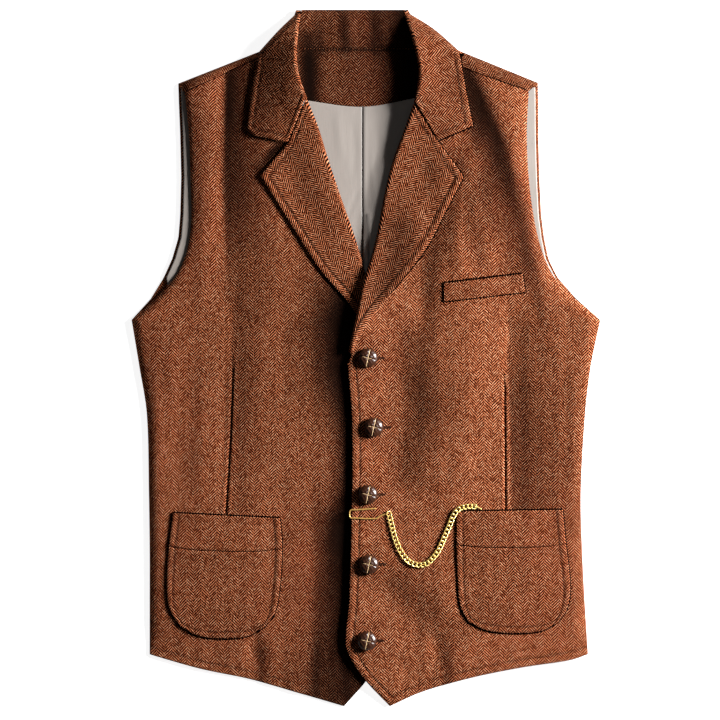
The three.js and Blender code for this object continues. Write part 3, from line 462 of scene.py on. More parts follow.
def wall(grid, thickness, floor=-np.inf, level=None, turned="start end bottom top"):
    """The outside and inside of a wall of cloth, no lower than a floor, with turned edges rounded."""
    normal = cloth_normals(grid)
    if level is not None:
        flat = np.where(level[..., None], normal * [1, 1, 0], normal)
        normal = flat / np.maximum(np.linalg.norm(flat, axis=-1, keepdims=True), 1e-9)
    soft = 1 - rounding(from_edges(grid, turned), thickness)
    inside = grid - thickness * normal
    lowest = floor(inside[..., 1]) if callable(floor) else floor
    inside[..., 2] = np.maximum(inside[..., 2], lowest)
    outside = grid - (OUTER_TURN * thickness * soft)[..., None] * normal
    return outside, mix(inside, grid, (INNER_TURN * soft)[..., None])


def turned_cut(points, degrees):
    """Where points lie on the cut cloth, with the weave turned."""
    turn = math.radians(degrees)
    x, y = points[..., 0], points[..., 1]
    return np.stack([x * math.cos(turn) + y * math.sin(turn), y * math.cos(turn) - x * math.sin(turn)], -1)


def shell_parts(outside, inside, cut, dark, first):
    """Points, faces, cut places and painted shade of a closed wall between two grids."""
    rows, columns = outside.shape[:2]
    index = np.arange(rows * columns).reshape(rows, columns)
    a, b, c, d = index[:-1, :-1], index[:-1, 1:], index[1:, 1:], index[1:, :-1]
    outer = np.stack([a, b, c, d], -1).reshape(-1, 4)
    inner = np.stack([a, d, c, b], -1).reshape(-1, 4) + rows * columns
    rim = np.concatenate([index[0, :-1], index[:-1, -1], index[-1, :0:-1], index[:0:-1, 0]])
    after = np.roll(rim, -1)
    sides = np.stack([after, rim, rim + rows * columns, after + rows * columns], -1)
    faces = np.concatenate([outer, inner, sides]) + first
    points = np.concatenate([outside.reshape(-1, 3), inside.reshape(-1, 3)])
    flat = cut.reshape(-1, 2)
    darkness = np.tile(np.broadcast_to(dark, outside.shape[:2]).ravel(), 2)
    return points, faces, np.concatenate([flat, flat + INSIDE_CUT]), darkness


def new_piece(name, points, faces, finish, nodes, sharp):
    """A mesh that rides on the garment's body and stands for the named solids, if any."""
    mesh = bpy.data.meshes.new(name)
    mesh.from_pydata((points / 1000).tolist(), [], faces)
    mesh.shade_smooth()
    mesh.set_sharp_from_angle(angle=math.radians(sharp))
    mesh.materials.append(finish)
    piece = bpy.data.objects.new(name, mesh)
    bpy.context.scene.collection.objects.link(piece)
    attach(piece, "root")
    if nodes:
        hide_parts(*nodes)
    return piece


def cloth_piece(name, shells, finish, nodes):
    """A laid sheet of one or more walls: outside, inside, cut places and painted shade of each."""
    parts, area, first = [], 0, 0
    for shell in shells:
        parts.append(shell_parts(*shell, first))
        first += len(parts[-1][0])
        outside = shell[0]
        diagonals = outside[1:, 1:] - outside[:-1, :-1], outside[1:, :-1] - outside[:-1, 1:]
        area += np.linalg.norm(np.cross(*diagonals), axis=-1).sum() / 2
    points, faces, cut, darkness = (np.concatenate(part) for part in zip(*parts))
    piece = new_piece(name, points, faces.tolist(), finish, nodes, CLOTH_SHARP)
    mesh = piece.data
    corners = np.empty(len(mesh.loops), np.int32)
    mesh.loops.foreach_get("vertex_index", corners)
    mesh.uv_layers.new(name="cut").uv.foreach_set("vector", (cut[corners] / 1000).ravel())
    # Each point keeps its painted shade for the finishes
    mesh.attributes.new("painted_shade", "FLOAT", "POINT").data.foreach_set("value", darkness)
    main = shells[0][0]
    width, length = run_lengths(main, 1)[:, -1].max(), run_lengths(main, 0)[-1].max()
    length *= max(1, area / (width * length))


# Finishes


def add(tree, kind, **values):
    """A node with its settings and its inputs; an input is a socket or a constant."""
    node = tree.nodes.new(kind)
    inputs = values.pop("inputs", {})
    for name, value in values.items():
        setattr(node, name, value)
    for name, value in inputs.items():
        socket = node.inputs[name]
        if isinstance(value, bpy.types.NodeSocket):
            tree.links.new(value, socket)
        else:
            socket.default_value = value
    return node


def sum_up(tree, operation, *values):
    inputs = dict(enumerate(values))
    return add(tree, "ShaderNodeMath", operation=operation, inputs=inputs).outputs[0]


def between(tree, value, low, high, to_low=0.0, to_high=1.0):
    inputs = {0: value, 1: low, 2: high, 3: to_low, 4: to_high}
    return add(tree, "ShaderNodeMapRange", interpolation_type="SMOOTHSTEP", inputs=inputs).outputs[0]


def blend_colours(tree, share, low, high, mode="MIX"):
    inputs = {0: share, 6: low, 7: high}
    return add(tree, "ShaderNodeMix", data_type="RGBA", blend_type=mode, inputs=inputs).outputs[2]


def noise(tree, place, scale, detail):
    inputs = {"Vector": place, "Scale": scale, "Detail": detail, "Roughness": 0.55}
    return add(tree, "ShaderNodeTexNoise", inputs=inputs).outputs


def new_group(name, inputs, outputs):
    group = bpy.data.node_groups.new(name, "ShaderNodeTree")
    for socket, kind, value in inputs:
        made = group.interface.new_socket(socket, in_out="INPUT", socket_type=kind)
        if value is not None:
            made.default_value = value
    for socket, kind in outputs:
        group.interface.new_socket(socket, in_out="OUTPUT", socket_type=kind)
    return group, add(group, "NodeGroupInput").outputs


VECTOR, FLOAT, COLOUR = "NodeSocketVector", "NodeSocketFloat", "NodeSocketColor"
# Width of a herringbone column, and distance between its lines
COLUMN = 7.8
PITCH = 3.0


def herringbone_weave():
    """Slanting lines that turn back at each column. The cut place is in millimetres. The painted shade input
    thins the pale lines where shade is painted.
    """
    group, given = new_group(
        "herringbone weave",
        [("Cut", VECTOR, None), ("Column", FLOAT, COLUMN), ("Pitch", FLOAT, PITCH), ("Depth", FLOAT, 0.0)],
        [("Pale yarn", FLOAT), ("Height", FLOAT), ("Fleck", FLOAT)],
    )
    wander = noise(group, given["Cut"], 0.06, 2.4)["Color"]
    offset = add(group, "ShaderNodeVectorMath", operation="MULTIPLY_ADD",
                 inputs={0: wander, 1: (1.5, 1.5, 0), 2: given["Cut"]}).outputs[0]
    axes = add(group, "ShaderNodeSeparateXYZ", inputs={0: offset}).outputs
    zigzag = sum_up(group, "PINGPONG", axes["X"], given["Column"])
    column = sum_up(group, "FLOOR", sum_up(group, "DIVIDE", axes["X"], given["Column"]))
    straight = sum_up(group, "DIVIDE", sum_up(group, "ADD", axes["Y"], zigzag), given["Pitch"])
    line = sum_up(group, "MULTIPLY_ADD", column, 0.5, straight)
    wave = sum_up(group, "SINE", sum_up(group, "MULTIPLY", line, 2 * math.pi))
    row = sum_up(group, "FLOOR", line)
    turn = sum_up(group, "FLOOR", sum_up(group, "MULTIPLY", axes["X"], 0.85))
    yarn = add(group, "ShaderNodeCombineXYZ", inputs={0: column, 1: row, 2: turn}).outputs[0]
    fleck = add(group, "ShaderNodeTexWhiteNoise", noise_dimensions="3D", inputs={"Vector": yarn}).outputs[0]
    twist = sum_up(group, "SINE", sum_up(group, "MULTIPLY", axes["X"], 2 * math.pi / 0.95))
    # Painted shade: the pale lines thin out where the cloth is painted dark in folds and under edges
    shown = sum_up(group, "MULTIPLY_ADD", given["Depth"], -0.8, wave)
    pale = between(group, shown, 0.08, 0.34)
    height = sum_up(group, "MULTIPLY_ADD", twist, 0.12, pale)
    add(group, "NodeGroupOutput", inputs={"Pale yarn": pale, "Height": height, "Fleck": fleck})
    return group


def wool_nap():
    """Soft unevenness of wool: a slow change of shade and fine fuzz."""
    group, given = new_group(
        "wool nap", [("Cut", VECTOR, None), ("Colour", COLOUR, None)], [("Colour", COLOUR), ("Fuzz", FLOAT)]
    )
    slow = between(group, noise(group, given["Cut"], 0.035, 3.0)["Fac"], 0.3, 0.7, 0.9, 1.08)
    fuzz = noise(group, given["Cut"], 0.9, 3.0)["Fac"]
    fine = between(group, fuzz, 0.3, 0.75, 0.86, 1.12)
    shade = sum_up(group, "MULTIPLY", slow, fine)
    grey = add(group, "ShaderNodeCombineColor", inputs={0: shade, 1: shade, 2: shade}).outputs[0]
    colour = blend_colours(group, 1.0, given["Colour"], grey, "MULTIPLY")
    add(group, "NodeGroupOutput", inputs={"Colour": colour, "Fuzz": fuzz})
    return group


def scaled(tree, place, scale):
    return add(tree, "ShaderNodeVectorMath", operation="MULTIPLY", inputs={0: place, 1: scale}).outputs[0]


def cut_place(tree):
    """The place on the cut cloth, in millimetres."""
    return scaled(tree, add(tree, "ShaderNodeUVMap", uv_map="cut").outputs[0], (1000, 1000, 1000))


def painted_shade_input(tree):
    """The painted shade, as kept on each point."""
    return add(tree, "ShaderNodeAttribute", attribute_name="painted_shade").outputs["Fac"]


def finish_of(name, **values):
    material = bpy.data.materials.new(name)
    material.use_nodes = True
    shader = material.node_tree.nodes["Principled BSDF"]
    for socket, value in values.items():
        shader.inputs[socket.replace("_", " ")].default_value = value
    return material, material.node_tree, shader


def raise_by(tree, shader, height, distance, strength):
    inputs = {"Height": height, "Distance": distance, "Strength": strength}
    bump = add(tree, "ShaderNodeBump", inputs=inputs).outputs[0]
    tree.links.new(bump, shader.inputs["Normal"])


WEAVE, NAP = herringbone_weave(), wool_nap()
DARK_YARN = (0.009, 0.0015, 0.0004, 1)
DULL_YARN = (0.19, 0.042, 0.014, 1)
PALE_YARN = (0.395, 0.12, 0.05, 1)
STRAW_YARN = (0.54, 0.23, 0.12, 1)
# Near-black brown painted into folds and under edges as shade
PAINTED_FOLD_SHADE = (0.004, 0.0016, 0.001, 1)
SATIN_PALE = (0.25, 0.221, 0.198, 1)
SATIN_DARK = (0.205, 0.179, 0.16, 1)
# Dark satin painted along the pleat and the seam as shade
SATIN_PAINTED_SHADE = (0.03, 0.025, 0.022, 1)
LEATHER_DARK = (0.012, 0.0035, 0.0015, 1)
LEATHER_PALE = (0.055, 0.018, 0.008, 1)


def make_tweed():
    material, tree, shader = finish_of(
        "rust herringbone tweed", Roughness=0.92, Sheen_Weight=0.01, Sheen_Roughness=0.6,
        Sheen_Tint=(0.9, 0.5, 0.3, 1), Specular_IOR_Level=0.015,
    )
    cut = cut_place(tree)
    painted_shade = painted_shade_input(tree)
    weave = add(tree, "ShaderNodeGroup", node_tree=WEAVE, inputs={"Cut": cut, "Depth": painted_shade}).outputs
    plain = blend_colours(tree, between(tree, weave["Fleck"], 0.05, 0.3), DULL_YARN, PALE_YARN)
    pale = blend_colours(tree, between(tree, weave["Fleck"], 0.6, 1.0), plain, STRAW_YARN)
    yarns = blend_colours(tree, weave["Pale yarn"], DARK_YARN, pale)
    worn = add(tree, "ShaderNodeGroup", node_tree=NAP, inputs={"Cut": cut, "Colour": yarns}).outputs
    # Painted shade: the colour is blended toward near-black where shade is painted into folds and under edges
    painted_shade_share = sum_up(tree, "MULTIPLY", painted_shade, painted_shade)
    shaded = blend_colours(tree, painted_shade_share, worn["Colour"], PAINTED_FOLD_SHADE)
    tree.links.new(shaded, shader.inputs["Base Color"])
    raise_by(tree, shader, sum_up(tree, "MULTIPLY_ADD", worn["Fuzz"], 0.5, weave["Height"]), 0.00055, 1.0)
    return material


def make_lining_satin():
    material, tree, shader = finish_of(
        "grey lining satin", Roughness=0.5, Sheen_Weight=0.1, Specular_IOR_Level=0.4
    )
    streaks = scaled(tree, cut_place(tree), (1, 0.04, 1))
    thread = noise(tree, streaks, 1.4, 2.0)["Fac"]
    painted_shade = painted_shade_input(tree)
    satin = blend_colours(tree, thread, SATIN_DARK, SATIN_PALE)
    # Painted shade: the satin darkens toward near-black along the pleat and the seam
    tree.links.new(blend_colours(tree, painted_shade, satin, SATIN_PAINTED_SHADE), shader.inputs["Base Color"])
    raise_by(tree, shader, thread, 0.0001, 0.4)
    return material


def make_leather():
    material, tree, shader = finish_of(
        "brown button leather", Roughness=0.36, Specular_IOR_Level=0.3, Coat_Weight=0.1, Coat_Roughness=0.2
    )
    place = add(tree, "ShaderNodeTexCoord").outputs["Object"]
    grain = add(tree, "ShaderNodeTexVoronoi", inputs={"Vector": place, "Scale": 1600.0}).outputs["Distance"]
    shade = noise(tree, place, 260.0, 3.0)["Fac"]
    colour = blend_colours(tree, shade, LEATHER_DARK, LEATHER_PALE)
    tree.links.new(colour, shader.inputs["Base Color"])
    raise_by(tree, shader, grain, 0.00012, 0.5)
    return material


def make_plain(name, colour, roughness, metallic=0.0, grain=900.0, shine=0.5):
    """A finish with a fine even grain."""
    material, tree, shader = finish_of(name, Roughness=roughness, Metallic=metallic, Specular_IOR_Level=shine)
    place = add(tree, "ShaderNodeTexCoord").outputs["Object"]
    shade = noise(tree, place, grain, 3.0)["Fac"]
    low = tuple(0.8 * part for part in colour)
    mixed = blend_colours(tree, shade, (*low, 1), (*colour, 1))
    tree.links.new(mixed, shader.inputs["Base Color"])
    raise_by(tree, shader, shade, 0.00004, 0.5)
    return material


TWEED = make_tweed()
LINING = make_lining_satin()
LEATHER = make_leather()
GOLD = make_plain("pale gold", (0.88, 0.66, 0.22), 0.3, 0.6)
OLD_GOLD = make_plain("darker gold wire", (0.62, 0.36, 0.1), 0.34, 0.6)
THREAD = make_plain("brown thread", (0.03, 0.009, 0.004), 0.9, grain=2500.0, shine=0.05)
# Near-black tubes that stand for shadow in seams and under edges
SEAM_SHADOW = make_plain("painted seam shadow", (0.006, 0.002, 0.001), 0.95, grain=2500.0, shine=0.0)
TAN_CORD = make_plain("tan leather cord", (0.5, 0.33, 0.17), 0.5, grain=2500.0)


# Fronts


SECTIONS = table("side inner", """
    -311 -365.5, -298 -345, -283 -322, -262 -292, -236 -250, -208 -210, -178 -178, -150 -150, -120 -120,
    -90 -90, -60 -60, -32 -32, -7 -5, 6 7, 22 25, 40 42, 52 56, 66 70, 84 86, 104 104, 126 126, 150 150,
    174 174, 198 200, 220 224, 240 246, 255 262, 267 288, 278 318
""")
NECKLINE_FOOT = 258
NECKLINE_HEAD = 318
FRONT_SPACING = 2.3
FRONT_WIDTH = 232
DART_SHARES = {"left": (0.31, 0.41), "right": (0.31, 0.4)}


def inner_point(side, up):
    """The front's inner edge, set back from the roll line above the break, then along the neckline."""
    inset = (ROLL_INSET + GAP) * smooth((up - BREAK + 8) / 10)
    below = np.stack([inner_edge_at(side, up) + inset * OUTWARD[side], up], -1)
    on_roll = roll_point(side, np.clip(up, BREAK + 0.2, NECKLINE_FOOT), inset)
    share = np.clip((up - NECKLINE_FOOT) / (NECKLINE_HEAD - NECKLINE_FOOT), 0, 1)[:, None]
    x, y = SHOULDERS[side]["seam_neck"]
    return np.where((up <= BREAK)[:, None], below, mix(on_roll, np.array([x, y - GAP]), share))


def over_back(y):
    """Where a front's inside rests: on the back, or on the floor below the back's hem."""
    return np.where(y > BACK_HEM - 1, BACK_WALL + GAP, 0.3)


def front_edges(side):
    """The four edges of a front in plan: side and armhole, inner edge, hem and shoulder seam."""
    last = len(SECTIONS["side"]) - 1
    order = np.arange(last + 1)
    (tip_x, tip_y), (neck_x, neck_y) = SHOULDERS[side]["seam_tip"], SHOULDERS[side]["seam_neck"]

    def start(v):
        up = np.interp(np.asarray(v) * last, order, SECTIONS["side"])
        near = np.clip(np.asarray(v) * last - last + 1, 0, 1)
        return np.stack([mix(side_at(side, up), tip_x, near), mix(up, tip_y - GAP, near)], -1)

    def end(v):
        return inner_point(side, np.interp(np.asarray(v) * last, order, SECTIONS["inner"]))

    hem = HEMS[side]["x"]
    ends = (hem[0], hem[-1]) if side == "left" else (hem[-1], hem[0])

    def bottom(u):
        x = mix(*ends, np.asarray(u))
        return np.stack([x, hem_at(side, x)], -1)

    top = straight_edge([0, tip_x, tip_y - GAP], [1, neck_x, neck_y - GAP])
    return start, end, bottom, top


def section_rows():
    """Shares up a front, about one spacing apart and closer at the hem and the shoulder."""
    places, last = [0.0, 0.02, 0.07], len(SECTIONS["side"]) - 1
    for k, gap in enumerate(np.diff(SECTIONS["inner"])):
        count = max(int(round(gap / FRONT_SPACING)), 2)
        places += list(k + np.linspace(0.14 if k == 0 else 0, 1, count, endpoint=False))
    return np.array([*places, last - 0.06, last - 0.02, last]) / last


def make_front(side):
    across = spaced(FRONT_WIDTH, FRONT_SPACING, close=(0.25, 0.8, 1.7))
    at_dart = np.arange(*DART_SHARES[side], 0.0032)
    at_edge = 1 - np.arange(0.6, 12, 0.8) / FRONT_WIDTH
    across = np.unique(np.concatenate([across, at_dart, at_edge]))
    up = section_rows()
    plan = patch(front_edges(side), across, up)
    grid = with_height(plan, front_height(side, plan[..., 0], plan[..., 1]))
    sides = np.interp(up * (len(SECTIONS["side"]) - 1), np.arange(len(SECTIONS["side"])), SECTIONS["side"])
    level = np.zeros(grid.shape[:2], bool)
    level[sides <= UNDERARM, 0] = True
    turned = "end bottom"
    if side == "right":
        grid, level, turned = grid[:, ::-1], level[:, ::-1], "start bottom"
    outside, inside = wall(grid, FRONT_WALL, over_back, level, turned)
    # Painted shade: darkened along the edge stitching, and in folds and under edges
    groove = stitch_shade(from_front_edge(side, grid[..., 0], grid[..., 1]), EDGE_STITCH, 0.55, 1.3)
    dark = np.maximum(painted_shade_of(f"{side} front", grid[..., 0], grid[..., 1]), groove)
    shell = (outside, inside, turned_cut(grid, 0), dark)
    cloth_piece(f"{side}_front_cloth", [shell], TWEED, [f"front_{side}"])


# Lapels


LAPELS = {
    "left": {
        "foot": 55, "notch": (-82, 225), "grain": 32,
        "edge": table("at x y", "0 -9 44, 0.08 -17 56, 0.35 -48 92, 0.56 -69 124, 1 -111 191"),
    },
    "right": {
        "foot": 6, "notch": (75, 227), "grain": -31,
        "edge": table("at x y", "0 -11 12, 0.16 4 40, 0.375 31 74, 0.6 62 113, 0.81 83 153, 1 102 190"),
    },
}
NOTCH_SHARE = 0.5
LAPEL_STITCH = 8.0
# Section of the lapel's fold: distance in from the roll line, and height above the front's outside
FOLD_SECTION = table("at in height", [
    [0, 2.7, -FRONT_WALL], [1, 1.1, -1.2], [2, 0.1, 0.7], [3, 0.5, 2.4], [4, 1.9, 3.5],
    [5, ROLL_INSET, ROLL_HEIGHT],
])
FOLD_STEPS = np.linspace(0, 5, 16)[:-1]


def lapel_edges(side):
    """The four edges of a lapel's face: roll line, outer edge, foot and gorge with its notch."""
    lapel = LAPELS[side]
    head = GORGE[side] - GAP

    def start(v):
        return roll_point(side, mix(lapel["foot"], head, np.asarray(v, float)), ROLL_INSET)

    end = smooth_edge(lapel["edge"])
    top = straight_edge([0, *start(1.0)], [NOTCH_SHARE, *lapel["notch"]], [1, *end(1.0)])
    bottom = straight_edge([0, *start(0.0)], [1, *end(0.0)])
    return start, end, bottom, top


def laid_cut(grid, anchor, degrees):
    """Cut places of a folded wall: as laid out from the anchor column on, and along the fold before it."""
    lengths = run_lengths(grid, 1)
    direction = grid[:, anchor + 3, :2] - grid[:, anchor, :2]
    direction /= np.linalg.norm(direction, axis=-1, keepdims=True)
    back = (lengths - lengths[:, anchor, None])[..., None]
    folded = grid[:, anchor, None, :2] + direction[:, None] * back
    before = np.arange(grid.shape[1])[:, None] < anchor
    return turned_cut(np.where(before, folded, grid[..., :2]), degrees)


def make_lapel(side):
    """The fold along the roll line, and the face that lies on the front."""
    lapel = LAPELS[side]
    up = spaced(250, 2.4)
    across = spaced(75, 1.5)
    plan = patch(lapel_edges(side), across, up)
    x, y = plan[..., 0], plan[..., 1]
    lifted = mix(ROLL_HEIGHT, FRONT_WALL + 1.1, smooth(across * 1.4))[None]
    face = with_height(plan, surface_height(side, x, y) + lifted)
    from_rim = from_edges(face, "end top")
    taper = smooth(up / 0.12)[:, None]
    face[..., 2] += taper * stitched_edge(from_rim, LAPEL_STITCH, 0.6, 0.6)
    face[..., 2] += 0.35 * taper * np.sin(x / 13 + y / 29) * bell(across[None] - 0.55, 0.3)
    heights = mix(lapel["foot"], GORGE[side] - GAP, up)
    base = surface_height(side, x[:, 0], y[:, 0])
    fold = []
    for step in FOLD_STEPS:
        inward = read(FOLD_SECTION, "at", "in", step)
        rise = read(FOLD_SECTION, "at", "height", step)
        fold.append(np.concatenate([roll_point(side, heights, inward), (base + rise)[:, None]], -1))
    grid = np.concatenate([np.stack(fold, 1), face], 1)
    # Painted shade along the stitching, with the painted shade of folds
    groove = np.pad(stitch_shade(from_rim, LAPEL_STITCH, 0.8) * taper, ((0, 0), (len(FOLD_STEPS), 0)))
    dark = np.maximum(painted_shade_of(f"{side} lapel", grid[..., 0], grid[..., 1]), groove)
    cut = laid_cut(grid, len(FOLD_STEPS), lapel["grain"])
    turned = "end top bottom"
    if side == "left":
        grid, cut, dark, turned = grid[:, ::-1], cut[:, ::-1], dark[:, ::-1], "start top bottom"
    outside, inside = wall(grid, FRONT_WALL, turned=turned)
    shell, nodes = (outside, inside, cut, dark), [f"lapel_{side}"]
    cloth_piece(f"{side}_lapel_cloth", [shell], TWEED, nodes)


# Collar


COLLARS = {
    "left": {
        "edge": table("at x y", "0 -125 240, 0.5 -120 281, 1 -112 321.5"),
        "lower": [[0.5, -82.2, 225.4], [0.86, -117, 232], [1, -125, 240]],
        "crest": (-91, 344.5), "grain": 84,
    },
    "right": {
        "edge": table("at x y", "0 112 243, 0.25 108 262, 0.65 101 300, 1 97.5 322.5"),
        "lower": [[0.5, 75.2, 227.4], [1, 112, 243]],
        "crest": (71, 345.5), "grain": -84,
    },
}
ROLL_HEAD = 363
CREST_ROUNDING = 11
CREST_STEP = 1
COLLAR_STITCH = 7.0
STAND_SECTION = table("at in share", [
    [0, 5.5, 0], [1, 2.6, 0.36], [2, 0.5, 0.7], [3, 0.1, 0.87], [4, 1.1, 0.965], [5, ROLL_INSET, 1],
])


def collar_edges(side):
    collar = COLLARS[side]

    def start(v):
        return roll_point(side, mix(GORGE[side] + GAP, ROLL_HEAD, np.asarray(v, float)), ROLL_INSET)

    end = smooth_edge(collar["edge"])
    bottom = straight_edge([0, *start(0.0)], *collar["lower"])
    top = smooth_edge(table("at x y", [[0, *start(1.0)], [0.5, *collar["crest"]], [1, *end(1.0)]]))
    return start, end, bottom, top


def collar_height(side, plan, u):
    """Height of the fall: free of the front at the fold, lower at the outer edge, round at the crest."""
    x, y = plan[..., 0], plan[..., 1]
    foot = BACK_WALL + GAP
    crest = from_edges(with_height(plan, 0 * x), "top")
    free = front_loft(side, x, y) + COLLAR_LIFT + COLLAR_CROWN[side] * (1 - u) ** 1.3
    low = mix(1, 0.45, smooth((y - 325) / 40))
    crowned = foot + (free * low - foot) * rounding(crest, CREST_ROUNDING)
    on_shoulder = np.where(from_shoulder(side, x, y) > 0, surface_height(side, x, y) + COLLAR_LIFT, 0)
    return np.maximum(crowned, on_shoulder)


def make_collar_side(side):
    """The stand inside the fold, and the fall out to the notch and the shoulder."""
    collar = COLLARS[side]
    across, up = spaced(55, 1.5), spaced(100, 1.6)
    up = np.unique(np.concatenate([up, 1 - np.array([0.1, 0.4, 1, 2, 3.4, 5, 7, 9]) / 100]))
    plan = patch(collar_edges(side), across, up)
    height = collar_height(side, plan, across[None])
    height[-1] = BACK_WALL + GAP + CREST_STEP * (1 - across)
    face = with_height(plan, height)
    away = from_edges(face, "end bottom")
    shape = stitched_edge(away, COLLAR_STITCH, 0.35, 0.45) * smooth((1 - up) / 0.15)[:, None]
    face[..., 2] += shape
    heights = mix(GORGE[side] + GAP, ROLL_HEAD, up)
    crown = face[:, 0, 2]
    foot = np.maximum(np.minimum(STAND_FOOT, crown - CREST_STEP), BACK_WALL + GAP)
    fold = []
    for step in FOLD_STEPS:
        inward = read(STAND_SECTION, "at", "in", step)
        share = read(STAND_SECTION, "at", "share", step)
        fold.append(np.concatenate([roll_point(side, heights, inward), mix(foot, crown, share)[:, None]], -1))
    grid = np.concatenate([np.stack(fold, 1), face], 1)
    laid = grid.copy()
    extra = run_lengths(grid, 0) - run_lengths(grid * [1, 1, 0], 0)
    extra = np.maximum(extra - extra[np.searchsorted(up, 0.8)], 0)
    over = grid[-1, :, :2] - grid[-9, :, :2]
    laid[..., :2] += extra[..., None] * over / np.linalg.norm(over, axis=-1, keepdims=True)
    cut = laid_cut(laid, len(FOLD_STEPS), collar["grain"])
    # Painted shade along the stitching, with the painted shade of folds
    groove = stitch_shade(away, COLLAR_STITCH, 0.75) * (up < 0.93)[:, None]
    groove = np.pad(groove, ((0, 0), (len(FOLD_STEPS), 0)))
    dark = np.maximum(painted_shade_of(f"{side} collar", grid[..., 0], grid[..., 1]), groove)
    turned = "end bottom"
    if side == "left":
        grid, cut, dark, turned = grid[:, ::-1], cut[:, ::-1], dark[:, ::-1], "start bottom"
    outside, inside = wall(grid, FRONT_WALL, BACK_WALL + GAP, top_row(grid), turned)
    shell = (outside, inside, cut, dark)
    cloth_piece(f"{side}_collar_cloth", [shell], TWEED, [f"collar_{side}"])


CREST_ROWS = [358, 360, 362, 363.4, 364.4, 365, 365.4]
STAND_ROWS = np.concatenate([np.linspace(NECK_SEAM + 0.5, 356, 16), CREST_ROWS])
# Left and right ends of the fall: x at the neck seam, near the top and at the top
FALL_ENDS = (-109.3, -68.5, -66), (95, 43, 40)


def make_collar_back():
    """Behind the neck the stand rises to the fold in soft waves, and the fall lies under it."""
    u, y = np.meshgrid(np.linspace(0, 1, 60), STAND_ROWS)
    level_up = np.minimum(y, ROLL_HEAD)
    x = mix(inner_edge_at("left", level_up) + GAP, inner_edge_at("right", level_up) - GAP, u)
    rise = (y - NECK_SEAM) / (COLLAR_TOP - NECK_SEAM)
    swell = np.sin(np.pi * np.clip(rise, 0, 1))
    wave = 0.7 * np.sin(u * 19) * swell + 0.35 * np.sin(u * 43 + 1) * swell
    ends = 2.6 * (bell(u, 0.12) + bell(1 - u, 0.12)) * (1 - rise)
    crown = 4.3 + 4.9 * rise + wave + ends
    inside_edge = rounding(COLLAR_TOP - y, 7)
    grid = np.stack([x, y, 1 + (crown - 1) * inside_edge], -1)
    outside, inside = wall(grid, FRONT_WALL, 0.9, top_row(grid), "bottom")
    # The stand is darkened by the painted shade of the neck
    stand = (outside, inside, turned_cut(grid, 0), painted_shade_of("neck", x, y))
    left, right = (
        straight_edge([0, low, NECK_SEAM], [0.93, near, COLLAR_TOP - 2], [1, high, COLLAR_TOP])
        for low, near, high in FALL_ENDS
    )
    bottom, top = (straight_edge([0, *left(v)], [1, *right(v)]) for v in (0.0, 1.0))
    plan = patch((left, right, bottom, top), spaced(180, 4), spaced(41, 3))
    fall_grid = with_height(plan, BACK_WALL)
    outside, inside = wall(fall_grid, BACK_WALL)
    fall = (outside, inside, turned_cut(fall_grid, 0), 0.0)
    cloth_piece("back_collar_cloth", [stand, fall], TWEED, ["collar_back"])


# Back, lining and facing


def back_start(side):
    """The back's outer edge from the hem, up the side and round the armhole to the shoulder tip."""
    sides = [(float(side_at(side, up)), up) for up in np.linspace(SIDES["up"][0], UNDERARM, 40)]
    rows = zip(ARMHOLES[side + "Back"][1:-1], ARMHOLES["up"][1:-1])
    points = np.array([*sides, *rows, SHOULDERS[side]["tip"]])
    lengths = path_lengths(points)
    return straight_edge(*np.column_stack([lengths / lengths[-1], points]))


# The back's wrap over the shoulder: corners of its four edges, and shares up it, close at the fold
WRAP_EDGES = ("seam_tip", "tip"), ("seam_neck", "wrap_end"), ("seam_tip", "seam_neck"), ("tip", "wrap_end")
WRAP_ROWS = np.array([0, 0.04, 0.11, 0.2, 0.3, 0.42, 0.55, 0.66, 0.76, 0.84, 0.9, 0.945, 0.975, 0.993, 1])
WRAP_GRAIN = 21
# Painted shade over the shoulder wraps, darker on the right
WRAP_PAINTED_SHADE = {"left": 0.28, "right": 0.5}


def make_back(side):
    """Half of the back, flat on the floor, and its wrap over the shoulder to the seam on the front."""
    shoulder = SHOULDERS[side]
    middle = CENTRE_SEAM + OUTWARD[side] * GAP / 2
    start = back_start(side)
    end = straight_edge([0, middle, BACK_HEM], [1, middle, NECK_SEAM - GAP])
    bottom = straight_edge([0, *start(0.0)], [1, middle, BACK_HEM])
    top = straight_edge([0, *shoulder["tip"]], [0.46, *shoulder["neck"]], [1, middle, NECK_SEAM - GAP])
    plan = patch((start, end, bottom, top), spaced(225, 5), spaced(640, 5))
    grid = with_height(plan, BACK_WALL)
    wrap_edges = [straight_edge([0, *shoulder[a]], [1, *shoulder[b]]) for a, b in WRAP_EDGES]
    wrap_plan = patch(wrap_edges, spaced(92, 2.4), WRAP_ROWS)
    height = surface_height(side, wrap_plan[..., 0], wrap_plan[..., 1])
    height = height + 0.25 * np.sin(wrap_plan[..., 0] / 9) * (1 - WRAP_ROWS[:, None])
    height[-1] = 1
    wrap = with_height(wrap_plan, height)
    wrap[-1, :, 1] -= 0.15
    if side == "right":
        grid, wrap = grid[:, ::-1], wrap[:, ::-1]
    outside, inside = wall(grid, BACK_WALL)
    plate = (outside, inside, turned_cut(grid, 0), 0.0)
    wrap_outside, wrap_inside = wall(wrap, BACK_WALL, 0.1, top_row(wrap), "start end bottom")
    along = np.broadcast_to(run_lengths(wrap, 0), wrap.shape[:2])
    cut = turned_cut(np.stack([wrap[..., 0], wrap[0, :, 1] + along], -1), OUTWARD[side] * WRAP_GRAIN)
    # The wrap carries its painted shade
    shells = [plate, (wrap_outside, wrap_inside, cut, WRAP_PAINTED_SHADE[side])]
    cloth_piece(f"{side}_back_cloth", shells, TWEED, [f"back_{side}"])


LINING_TOP = BACK_WALL + GAP + LINING_WALL
LINING_HEM = -12
